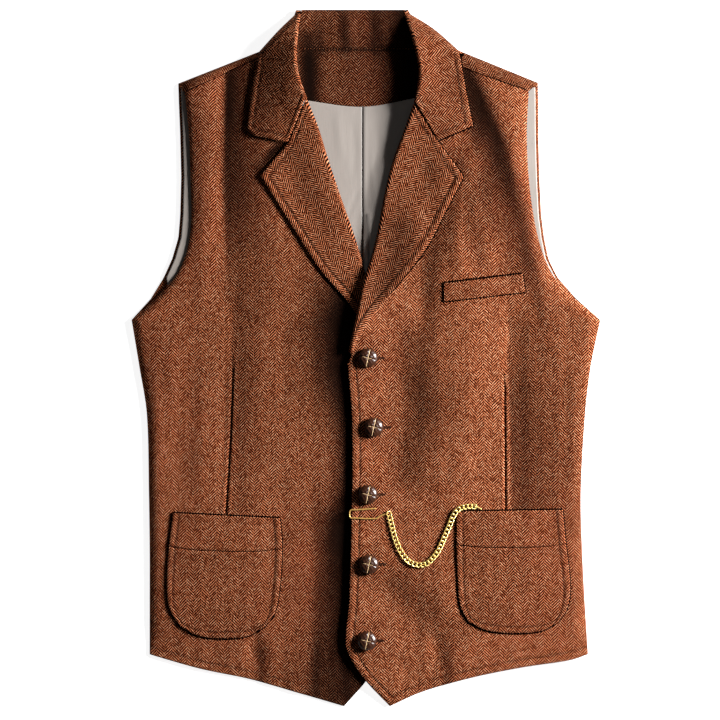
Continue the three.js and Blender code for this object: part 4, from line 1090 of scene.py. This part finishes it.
# The neck facing: corners at its lower edge and at the neck seam, and the curve of its lower edge
FACING_LOW = {"left": (-66, 271), "right": (56, 274)}
FACING_HIGH = {"left": (-96, NECK_SEAM), "right": (84, NECK_SEAM)}
FACING_EDGE = table("x y", [FACING_LOW["left"], (CENTRE_SEAM, 264), FACING_LOW["right"]])
FACING_GAP = 0.4
CORNER_SHARE = 0.67
PLEAT = table(CREASE_COLUMNS, "1 150 2.5 118 4 84 5 0.7")
SATIN_WAVES = table(CREASE_COLUMNS, """
    -8 176 -14 162 -20 147 2.2 -0.5, -1.6 132 1.5 110 4 87 1.6 -0.9, -30 262 -28 235 -25 205 5 0.35,
    20 262 18 240 20 215 4 0.3, 8 240 6 200 9 165 3 0.3, -14 250 -12 215 -13 190 3 -0.3
""")


def facing_edge_at(x):
    return np.stack([x, read(FACING_EDGE, "x", "y", x)], -1)


def make_lining(side):
    """Half of the back lining where the neck and the armhole show it, with its part of the pleat."""
    out = OUTWARD[side]
    middle = CENTRE_SEAM + out * GAP / 2
    corner = FACING_LOW[side]
    chosen = ARMHOLES["up"] >= 84
    edge_x = ARMHOLES[side + "Back"][chosen] - out * 3
    edge_y = np.minimum(ARMHOLES["up"][chosen], 284)
    outer = np.array([(out * 188, LINING_HEM), (out * 206, 66), *zip(edge_x, edge_y)])
    start = straight_edge(*np.column_stack([np.linspace(0, 1, len(outer)), outer]))
    end = straight_edge([0, middle, LINING_HEM], [1, *facing_edge_at(np.array(middle)) - [0, FACING_GAP]])
    bottom = straight_edge([0, *start(0.0)], [1, middle, LINING_HEM])
    shoulder = straight_edge([0, *start(1.0)], [0.5, out * 125, 286], [1, corner[0], corner[1] - FACING_GAP])

    def top(u):
        u = np.asarray(u, float)
        inner_x = mix(corner[0], middle, np.clip((u - CORNER_SHARE) / (1 - CORNER_SHARE), 0, 1))
        under = facing_edge_at(inner_x) - [0, FACING_GAP]
        return np.where((u <= CORNER_SHARE)[..., None], shoulder(np.clip(u / CORNER_SHARE, 0, 1)), under)

    plan = patch((start, end, bottom, top), spaced(200, 2.2), spaced(290, 2.2))
    x, y = plan[..., 0], plan[..., 1]
    distance, _, _ = near_line(PLEAT, 0, x, y)
    height = LINING_TOP + PLEAT["height"][0] * bell(distance, PLEAT["width"][0])
    height = height + crease_height(SATIN_WAVES, x, y, faded=True)
    seam = np.abs(x - CENTRE_SEAM)
    height = height + 0.1 * bell(seam - 2.4, 1.4) - 0.1 * bell(seam, 0.8)
    height = np.maximum(height, LINING_TOP - 0.2)
    if side == "left":
        beyond = out * (x - side_at(side, y))
        height = height + 2.0 * smooth((beyond + 2) / 5) * smooth((y - 70) / 20)
    else:
        at_roll = smooth((x - inner_edge_at(side, y) + 22) / 20)
        height = height + 3.2 * at_roll * smooth((y - 66) / 25) * smooth((222 - y) / 26)
    grid = with_height(plan, height)
    if side == "right":
        grid = grid[:, ::-1]
    outside, inside = wall(grid, LINING_WALL, BACK_WALL + 0.1)
    # Painted shade along the pleat and the centre seam, where the satin is darkened as if shaded
    pleat = near_line(PLEAT, 0, grid[..., 0], grid[..., 1])[0]
    sunk = 0.85 * bell(np.minimum(pleat, np.abs(grid[..., 0] - CENTRE_SEAM - 0.6)), 1.5)
    shell = (outside, inside, turned_cut(grid, 0), sunk)
    cloth_piece(f"{side}_satin_lining", [shell], LINING, [f"lining_{side}"])


def make_neck_facing():
    start, end = (straight_edge([0, *FACING_LOW[side]], [1, *FACING_HIGH[side]]) for side in OUTWARD)
    top = straight_edge([0, *FACING_HIGH["left"]], [1, *FACING_HIGH["right"]])

    def bottom(u):
        return facing_edge_at(mix(FACING_LOW["left"][0], FACING_LOW["right"][0], np.asarray(u, float)))

    plan = patch((start, end, bottom, top), spaced(150, 2.5), spaced(58, 2.5))
    height = BACK_WALL + GAP + PATCH_WALL + 0.25 * np.sin(plan[..., 0] / 11 + plan[..., 1] / 17)
    grid = with_height(plan, height)
    outside, inside = wall(grid, PATCH_WALL, BACK_WALL + 0.1)
    # The facing is darkened by the painted shade of the neck
    shell = (outside, inside, turned_cut(grid, 0), painted_shade_of("neck", grid[..., 0], grid[..., 1]))
    cloth_piece("neck_facing_cloth", [shell], TWEED, ["neck_facing"])


# Pockets and welt


POCKETS = {
    "left": {
        "start": table("at x y", """
            0 -195 -281, 0.17 -206 -263, 0.38 -209 -238, 0.68 -207 -200, 1 -202.5 -162.5
        """),
        "end": table("at x y", "0 -106 -281.5, 0.14 -95.5 -267, 0.4 -90 -236, 0.72 -88 -198, 1 -90 -168"),
        "bottom": table("at x y", """
            0 -195 -281, 0.2 -177 -291, 0.5 -151 -294, 0.8 -124 -291.5, 1 -106 -281.5
        """),
    },
    "right": {
        "start": table("at x y", """
            0 107 -276.5, 0.16 98.5 -260, 0.4 95.6 -230, 0.7 94.5 -196, 1 94.5 -161
        """),
        "end": table("at x y", "0 201 -277, 0.13 210.5 -263, 0.32 214 -240, 0.7 209.5 -195, 1 206 -159"),
        "bottom": table("at x y", """
            0 107 -276.5, 0.2 126 -285.5, 0.5 156 -288.5, 0.8 184 -286, 1 201 -277
        """),
    },
}
BAND_SHARE = 0.7
LAID_GAP = 0.55
POCKET_STITCH = 7.0
# Painted shade laid evenly over each pocket, darker on the right
POCKET_PAINTED_SHADE = {"left": 0.14, "right": 0.22}


def laid_on(side, x, y, thickness):
    return surface_height(side, x, y) + thickness + LAID_GAP


def make_pocket(side):
    """A patch pocket with round bottoms, and the band across its top."""
    rows = POCKETS[side]
    start, end, bottom = (smooth_edge(rows[name]) for name in ("start", "end", "bottom"))
    top = straight_edge([0, *start(1.0)], [1, *end(1.0)])
    across = spaced(118, 1.3)
    whole = spaced(128, 1.5)
    for name, low, high in (("pocket", 0, BAND_SHARE), ("pocket_band", BAND_SHARE + GAP / 130, 1)):
        inner = whole[(whole > low + 0.02) & (whole < high - 0.02)]
        ends = np.array([0, 0.0035, 0.009])
        up = np.concatenate([low + ends, inner, high - ends[::-1]])
        plan = patch((start, end, bottom, top), across, up)
        x, y = plan[..., 0], plan[..., 1]
        grid = with_height(plan, laid_on(side, x, y, PATCH_WALL))
        rim = from_edges(grid, "start end bottom" if name == "pocket" else "start end")
        shape = 0.35 * bell(rim - POCKET_STITCH / 2, 2.4) - 0.55 * bell(rim - POCKET_STITCH, 0.9)
        belly = 0.8 * smooth((rim - POCKET_STITCH) / 26)
        seam = run_lengths(grid, 0)
        ridge = 0.35 * bell((seam[-1:] - seam if name == "pocket" else seam) - 2.5, 2)
        grid[..., 2] += shape + belly + ridge
        outside, inside = wall(grid, PATCH_WALL)
        # Painted shade: the stitch line and the whole pocket are darkened as if shaded
        dark = np.maximum(stitch_shade(rim, POCKET_STITCH, 0.65), POCKET_PAINTED_SHADE[side])
        shell, nodes = (outside, inside, turned_cut(grid, 0), dark), [f"{name}_{side}"]
        cloth_piece(f"{side}_{name}_cloth", [shell], TWEED, nodes)


WELT = {"low": (81, 59, 167, 69), "high": (81, 78, 164, 88)}
WELT_WALL = 1.0


def make_chest_welt():
    lx1, ly1, lx2, ly2 = WELT["low"]
    hx1, hy1, hx2, hy2 = WELT["high"]
    bottom, top = straight_edge([0, lx1, ly1], [1, lx2, ly2]), straight_edge([0, hx1, hy1], [1, hx2, hy2])
    start, end = straight_edge([0, lx1, ly1], [1, hx1, hy1]), straight_edge([0, lx2, ly2], [1, hx2, hy2])
    plan = patch((start, end, bottom, top), spaced(86, 1.8), spaced(19, 1.4))
    x, y = plan[..., 0], plan[..., 1]
    grid = with_height(plan, laid_on("right", x, y, WELT_WALL))
    rim = from_edges(grid, "start end bottom top")
    grid[..., 2] += 0.5 * smooth(rim / 5)
    outside, inside = wall(grid, WELT_WALL)
    # Painted shade: the whole welt is darkened as if shaded
    shell = (outside, inside, turned_cut(grid, 0), 0.2)
    cloth_piece("chest_welt_cloth", [shell], TWEED, ["chest_welt"])


# Small round forms


WIRE_END = 0.45


def ring_faces(count, sides, closed=False):
    """Faces between rings of points in a row, and over both ends unless the row is closed."""
    faces = []
    for k in range(count if closed else count - 1):
        here, there = k * sides, (k + 1) % count * sides
        for s in range(sides):
            t = (s + 1) % sides
            faces.append((here + s, there + s, there + t, here + t))
    if not closed:
        faces.append(tuple(range(sides)))
        faces.append(tuple(reversed(range((count - 1) * sides, count * sides))))
    return faces


def tube_parts(path, radius, sides, closed=False):
    """Points and faces of a round wire along a path; its ends are rounded off."""
    radii = np.full(len(path), float(radius))
    if closed:
        tangent = np.roll(path, -1, 0) - np.roll(path, 1, 0)
    else:
        tangent = np.gradient(path, axis=0)
        radii[[0, -1]] *= WIRE_END
    tangent /= np.linalg.norm(tangent, axis=1, keepdims=True)
    side_way = np.cross(tangent, [0.0, 0.0, 1.0])
    side_way /= np.maximum(np.linalg.norm(side_way, axis=1, keepdims=True), 1e-9)
    up_way = np.cross(side_way, tangent)
    angle = np.linspace(0, 2 * np.pi, sides, endpoint=False)
    rings = [
        centre + size * (np.outer(np.cos(angle), aside) + np.outer(np.sin(angle), up))
        for centre, size, aside, up in zip(path, radii, side_way, up_way)
    ]
    return np.concatenate(rings), ring_faces(len(path), sides, closed)


def small_piece(name, parts, finish, nodes=()):
    """Several sets of points and faces as one piece."""
    points, faces, first = [], [], 0
    for some_points, some_faces in parts:
        points.append(some_points)
        faces.extend(tuple(first + corner for corner in face) for face in some_faces)
        first += len(some_points)
    new_piece(name, np.concatenate(points), faces, finish, nodes, SMALL_SHARP)


# Buttons


BUTTONS = [(2, 0), (8, -72.5), (2, -143), (3, -216), (1, -296)]
BUTTON_SECTION = table("out up", "0 7.9, 0.37 7.6, 0.7 6.6, 0.94 4.6, 1 2.2")
# Rings under the dome: share of the radius and height
BUTTON_FOOT = (0.985, 1.2), (0.93, 0.35), (0.84, 0.0)
# The crossed cords: reach as a share of the radius, wire radius, and whether it runs up the button
CORDS = (0.9, 0.5, True), (0.52, 0.32, False)
CORD_TURN = math.radians(-13)
BUTTON_SIDES = 56


def button_seat(x, y):
    angle = np.linspace(0, 2 * np.pi, 16)
    reach = 0.8 * BUTTON_RADIUS
    return front_height("right", x + reach * np.cos(angle), y + reach * np.sin(angle)).max() + GAP


def button_top(a, b):
    """Height of the dome: four woven quarters parted by crossing grooves."""
    out = np.hypot(a, b) / BUTTON_RADIUS
    dome = read(BUTTON_SECTION, "out", "up", out)
    groove = 0.9 * bell(a, 0.8) + 0.7 * bell(b, 0.7)
    strap = 0.28 * np.cos(a * 2 * np.pi / 4.6) * np.cos(b * 2 * np.pi / 4.6)
    return dome - (groove - strap) * (1 - out**4)


def make_button(number, x, y):
    """A woven dome on its seat, with two crossed cords over it."""
    seat = button_seat(x, y)
    outs = np.concatenate([np.linspace(0.02, 0.9, 22), [0.94, 0.97, 0.99, 1]])
    angles = np.linspace(0, 2 * np.pi, BUTTON_SIDES, endpoint=False)
    out, angle = np.meshgrid(outs, angles, indexing="ij")
    a, b = out * BUTTON_RADIUS * np.cos(angle), out * BUTTON_RADIUS * np.sin(angle)
    rings = [np.stack([a, b, button_top(a, b)], -1)]
    for share, up in BUTTON_FOOT:
        ring = np.stack([share * a[-1], share * b[-1], np.full(BUTTON_SIDES, up)], -1)
        rings.append(ring[None])
    grid = np.concatenate(rings)
    turn = np.array([[math.cos(CORD_TURN), math.sin(CORD_TURN)], [-math.sin(CORD_TURN), math.cos(CORD_TURN)]])
    points = grid.reshape(-1, 3).copy()
    points[:, :2] = points[:, :2] @ turn + [x, y]
    points[:, 2] += seat
    dome = (points, ring_faces(len(grid), BUTTON_SIDES))
    small_piece(f"leather_button_{number}", [dome], LEATHER, [f"button_{number}"])
    cords = []
    for reach, radius, upright in CORDS:
        place = np.linspace(-reach, reach, 24) * BUTTON_RADIUS
        ca, cb = (np.zeros(24), place) if upright else (place - 1.2, np.zeros(24))
        top = button_top(ca, cb) + radius * 0.7
        flat = np.stack([ca, cb], -1) @ turn + [x, y]
        cords.append(tube_parts(np.column_stack([flat, top + seat]), radius, 8))
    small_piece(f"button_cord_{number}", cords, TAN_CORD)


def make_buttonholes():
    """A worked buttonhole shows to the right of each button."""
    parts = []
    for x, y in BUTTONS:
        near, far = x + 8.5, x + 18.5
        for offset in (-0.75, 0.75):
            px = np.linspace(near, far, 16)
            py = y + offset * np.sqrt(np.clip(1 - ((px - near) / (far - near)) ** 6, 0.05, 1)) + 0 * px
            pz = front_height("right", px, py) + 0.35
            parts.append(tube_parts(np.column_stack([px, py, pz]), 0.55, 8))
    small_piece("buttonhole_threads", parts, THREAD)


# Stitching


STITCH_PITCH = 3.6
STITCH_LENGTH = 2.2
STITCH_RADIUS = 0.24


def outline_of(side):
    """A patch pocket's outline in plan, from its upper left corner round the bottom."""
    rows, share = POCKETS[side], np.linspace(0, 1, 40)
    start, bottom, end = (smooth_edge(rows[name])(share) for name in ("start", "bottom", "end"))
    return np.concatenate([start[::-1], bottom[1:], end[1:]])


def line_of(*points):
    """Even points along straight lines in plan."""
    points = np.array(points, float)
    at = np.linspace(0, 1, len(points))
    even = np.linspace(0, 1, 40)
    return np.column_stack([np.interp(even, at, points[:, k]) for k in (0, 1)])


def moved_out(points, middle, step):
    """A line moved sideways, away from a point."""
    way = np.gradient(points, axis=0)
    side_way = np.column_stack([way[:, 1], -way[:, 0]]) / np.linalg.norm(way, axis=1, keepdims=True)
    away = np.sign(np.sum(side_way * (points - middle), axis=1, keepdims=True))
    return points + step * away * side_way


def make_seam_shadows():
    """Painted shadows: dark tubes along seams and under edges: pockets, darts, shoulders, lapel and collar
    edges, welt and lining.
    """
    parts = []

    # Each tube lies on the front as a painted shadow along a seam or under an edge
    def seam(side, points, radius, lift):
        height = front_height(side, points[:, 0], points[:, 1]) + lift
        parts.append(tube_parts(np.column_stack([points, height]), radius, 8))

    for side in ("left", "right"):
        outline = outline_of(side)
        middle = outline.mean(axis=0)
        outline = moved_out(outline, middle, 0.55)
        seam(side, outline, 0.6, 0.35)
        seam(side, line_of(outline[0], outline[-1]) + [0, 0.8], 0.8, 0.9)
        rows = DARTS[side]
        seam(side, line_of(*[(rows[f"x{n}"][0], rows[f"y{n}"][0]) for n in (1, 2, 3)]), 0.32, 0.05)
        seam_tip, seam_neck = SHOULDERS[side]["seam_tip"], SHOULDERS[side]["seam_neck"]
        seam(side, line_of(seam_tip, seam_neck)[1:-1], 0.4, 0.1)
    share = np.linspace(0, 1, 50)
    _, lapel_end, _, lapel_top = lapel_edges("right")
    _, collar_end, collar_low, _ = collar_edges("right")
    beside_notch = share[share >= NOTCH_SHARE]
    for points, middle in (
        (lapel_end(share[17:]), (40, 130)), (lapel_top(beside_notch), (60, 150)),
        (collar_end(share[:-5]), (75, 290)), (collar_low(beside_notch), (80, 270)),
    ):
        seam("right", moved_out(points, np.array(middle), 0.6), 0.75, 0.45)
    lx1, ly1, lx2, ly2 = WELT["low"]
    hx1, hy1, hx2, hy2 = WELT["high"]
    for start, end, radius, lift in (
        ((hx1, hy1 + 0.9), (hx2, hy2 + 0.9), 1.05, 0.7), ((lx1, ly1 - 0.5), (lx2, ly2 - 0.5), 0.6, 0.3),
        ((lx1 - 0.4, ly1), (hx1 - 0.4, hy1), 0.5, 0.3), ((lx2 + 0.5, ly2), (hx2 + 0.5, hy2), 0.75, 0.5),
    ):
        seam("right", line_of(start, end), radius, lift)
    # A painted shadow line down the lining's centre seam
    head = facing_edge_at(np.array(CENTRE_SEAM))[1] - FACING_GAP
    centre = line_of((CENTRE_SEAM, 50), (CENTRE_SEAM, head))
    parts.append(tube_parts(np.column_stack([centre, np.full(len(centre), LINING_TOP - 0.3)]), 0.4, 8))
    small_piece("painted_seam_shadows", parts, SEAM_SHADOW)


def make_stitching():
    """A row of short stitches beside the right front's closing edge."""
    up = np.linspace(-330, -6, 120)
    edge = np.column_stack([inner_edge_at("right", up) + EDGE_STITCH, up])
    edge[:, 0] += 2.2 * smooth((-300 - up) / 20)
    lengths, parts = path_lengths(edge), []
    for middle in np.arange(STITCH_PITCH, lengths[-1] - STITCH_PITCH / 2, STITCH_PITCH):
        along = middle + np.array([-0.5, -0.25, 0, 0.25, 0.5]) * STITCH_LENGTH
        x, y = (np.interp(along, lengths, edge[:, k]) for k in (0, 1))
        height = front_height("right", x, y) + 0.12 + np.array([-0.3, 0, 0.08, 0, -0.3])
        parts.append(tube_parts(np.column_stack([x, y, height]), STITCH_RADIUS, 6))
    small_piece("edge_stitches", parts, THREAD)


# Watch chain


CHAIN_ROUTE = np.array([
    (24, -163.5), (27, -176), (31, -191), (37, -204), (44, -212.5), (53, -216.5), (62, -216), (69, -210.5),
    (75.5, -202), (81.5, -189), (87, -176), (92, -164), (98, -157.5), (106, -155.5), (113, -155.5),
], float)
LINK_WIRE = 0.7
LINK_LENGTH = 7.0
LINK_WIDTH = 6.0
LINK_PITCH = 4.3
LINK_TWIST = 0.72
LINK_GAP = 0.15
ROUTE_POINTS = 400


def smooth_route(route, count):
    """Evenly spaced points on a smooth curve through a route."""
    lengths = path_lengths(route)
    rows = {"at": lengths, **{str(k): route[:, k] for k in range(route.shape[1])}}
    fine = np.linspace(0, lengths[-1], 600)
    curve = np.column_stack([read(rows, "at", str(k), fine) for k in range(route.shape[1])])
    run = path_lengths(curve)
    even = np.linspace(0, run[-1], count)
    return np.column_stack([np.interp(even, run, curve[:, k]) for k in range(route.shape[1])]), run[-1]


def cover_height(x, y):
    """Top of what the chain lies on: the right front, and its pocket's band."""
    on_pocket = smooth((-157 - y) / 3) * smooth((x - 92) / 3)
    return front_height("right", x, y) + on_pocket * (PATCH_WALL + LAID_GAP)


def make_chain():
    """Twisted links along the route, over the front and the pocket's band."""
    route, length = smooth_route(CHAIN_ROUTE, ROUTE_POINTS)
    run = np.linspace(0, length, ROUTE_POINTS)
    turn = np.linspace(0, 2 * np.pi, 26, endpoint=False)
    along = (LINK_LENGTH / 2 - LINK_WIRE) * np.sign(np.cos(turn)) * np.abs(np.cos(turn)) ** 0.85
    aside = (LINK_WIDTH / 2 - LINK_WIRE) * np.sign(np.sin(turn)) * np.abs(np.sin(turn)) ** 0.8

    def place(at):
        return np.array([np.interp(at, run, route[:, n]) for n in (0, 1)])

    count, parts = int(length / LINK_PITCH), []
    for k in range(count + 1):
        at = k * length / count
        centre, way = place(at), place(min(at + 1, length)) - place(max(at - 1, 0))
        way /= np.linalg.norm(way)
        plan = centre + np.outer(along, way) + np.outer(aside, [-way[1], way[0]])
        base = cover_height(centre[0], centre[1]) + LINK_WIRE + LINK_TWIST + LINK_GAP
        up = base + LINK_TWIST * np.sin(2 * turn)
        parts.append(tube_parts(np.column_stack([plan, up]), LINK_WIRE, 9, closed=True))
    small_piece("watch_chain", parts, GOLD, ["chain"])


HOOK_WIRE = 0.8
HOOK_ROUTE = [
    (23.7, -162.3, 0), (16, -165, 0), (10.5, -168, 0), (-12, -167.6, 0), (-16.2, -167.2, 0.2),
    (-17.4, -163.4, 0.2), (-16.2, -159.4, 0.2), (-12, -159, 0), (11, -157.6, 0),
]


def wire_route(route, count):
    points = []
    for x, y, extra in route:
        under = cover_height(max(x, -12.0), y)
        points.append((x, y, float(under) + GAP + HOOK_WIRE + extra))
    return smooth_route(np.array(points), count)[0]


CLIP_ROUTE = [(113.4, -155.5, 0.8), (117, -156.4, 0.3), (121, -158.6, 0)]
CLIP_WIRE = 0.95


def make_chain_ends():
    """The wire hook at the closing edge and the clip at the pocket."""
    hook = tube_parts(wire_route(HOOK_ROUTE, 70), HOOK_WIRE, 12)
    small_piece("wire_hook", [hook], OLD_GOLD, ["chain_hook"])
    clip = tube_parts(wire_route(CLIP_ROUTE, 20), CLIP_WIRE, 12)
    small_piece("chain_clip", [clip], GOLD, ["chain_end"])


# Making


for side in ("left", "right"):
    make_back(side)
    make_lining(side)
    make_front(side)
    make_lapel(side)
    make_collar_side(side)
    make_pocket(side)
make_neck_facing()
make_collar_back()
make_chest_welt()
for number, (x, y) in enumerate(BUTTONS, 1):
    make_button(number, x, y)
make_buttonholes()
make_stitching()
make_seam_shadows()
make_chain()
make_chain_ends()


# Floor, lights and camera


FLOOR_GREY = 0.6
FLOOR_GLOW = 0.88
FLOOR_LEVEL = -0.0002
WORLD_GLOW = 0.03
CAMERA_PLACE = (-0.0063, -0.0021, 4.0)
CAMERA_LENS = 190.5


def make_floor():
    material, _, shader = finish_of("pale studio floor", Roughness=0.9, Specular_IOR_Level=0.1)
    shader.inputs["Base Color"].default_value = (FLOOR_GREY, FLOOR_GREY, FLOOR_GREY, 1)
    shader.inputs["Emission Color"].default_value = (1, 1, 1, 1)
    shader.inputs["Emission Strength"].default_value = FLOOR_GLOW
    mesh = bpy.data.meshes.new("stage_floor")
    corners = [(6.0 * x, 6.0 * y, FLOOR_LEVEL) for x, y in ((-1, -1), (1, -1), (1, 1), (-1, 1))]
    mesh.from_pydata(corners, [], [(0, 1, 2, 3)])
    mesh.materials.append(material)
    floor = bpy.data.objects.new("stage_floor", mesh)
    bpy.context.scene.collection.objects.link(floor)


def add_light(name, place, size, power):
    """A square lamp that points at the middle of the garment."""
    light = bpy.data.lights.new(name, "AREA")
    light.energy, light.size = power, size
    lamp = bpy.data.objects.new(name, light)
    lamp.location = place
    x, y, z = place
    lamp.rotation_euler = (math.atan2(math.hypot(x, y), z), 0, math.atan2(y, x) + math.pi / 2)
    bpy.context.scene.collection.objects.link(lamp)


def make_studio():
    add_light("key light", (1.62, 0.43, 0.8), 0.58, 164)
    add_light("soft fill", (-0.3, 0.4, 2.8), 1.6, 3)
    world = bpy.data.worlds.new("studio")
    world.use_nodes = True
    world.node_tree.nodes["Background"].inputs["Color"].default_value = (1, 1, 1, 1)
    world.node_tree.nodes["Background"].inputs["Strength"].default_value = WORLD_GLOW
    bpy.context.scene.world = world
    bpy.context.scene.view_settings.view_transform = "Standard"
    camera = bpy.data.cameras.new("camera")
    camera.sensor_width, camera.lens = 36, CAMERA_LENS
    view = bpy.data.objects.new("camera", camera)
    view.location = CAMERA_PLACE
    bpy.context.scene.collection.objects.link(view)
    bpy.context.scene.camera = view


make_floor()
make_studio()
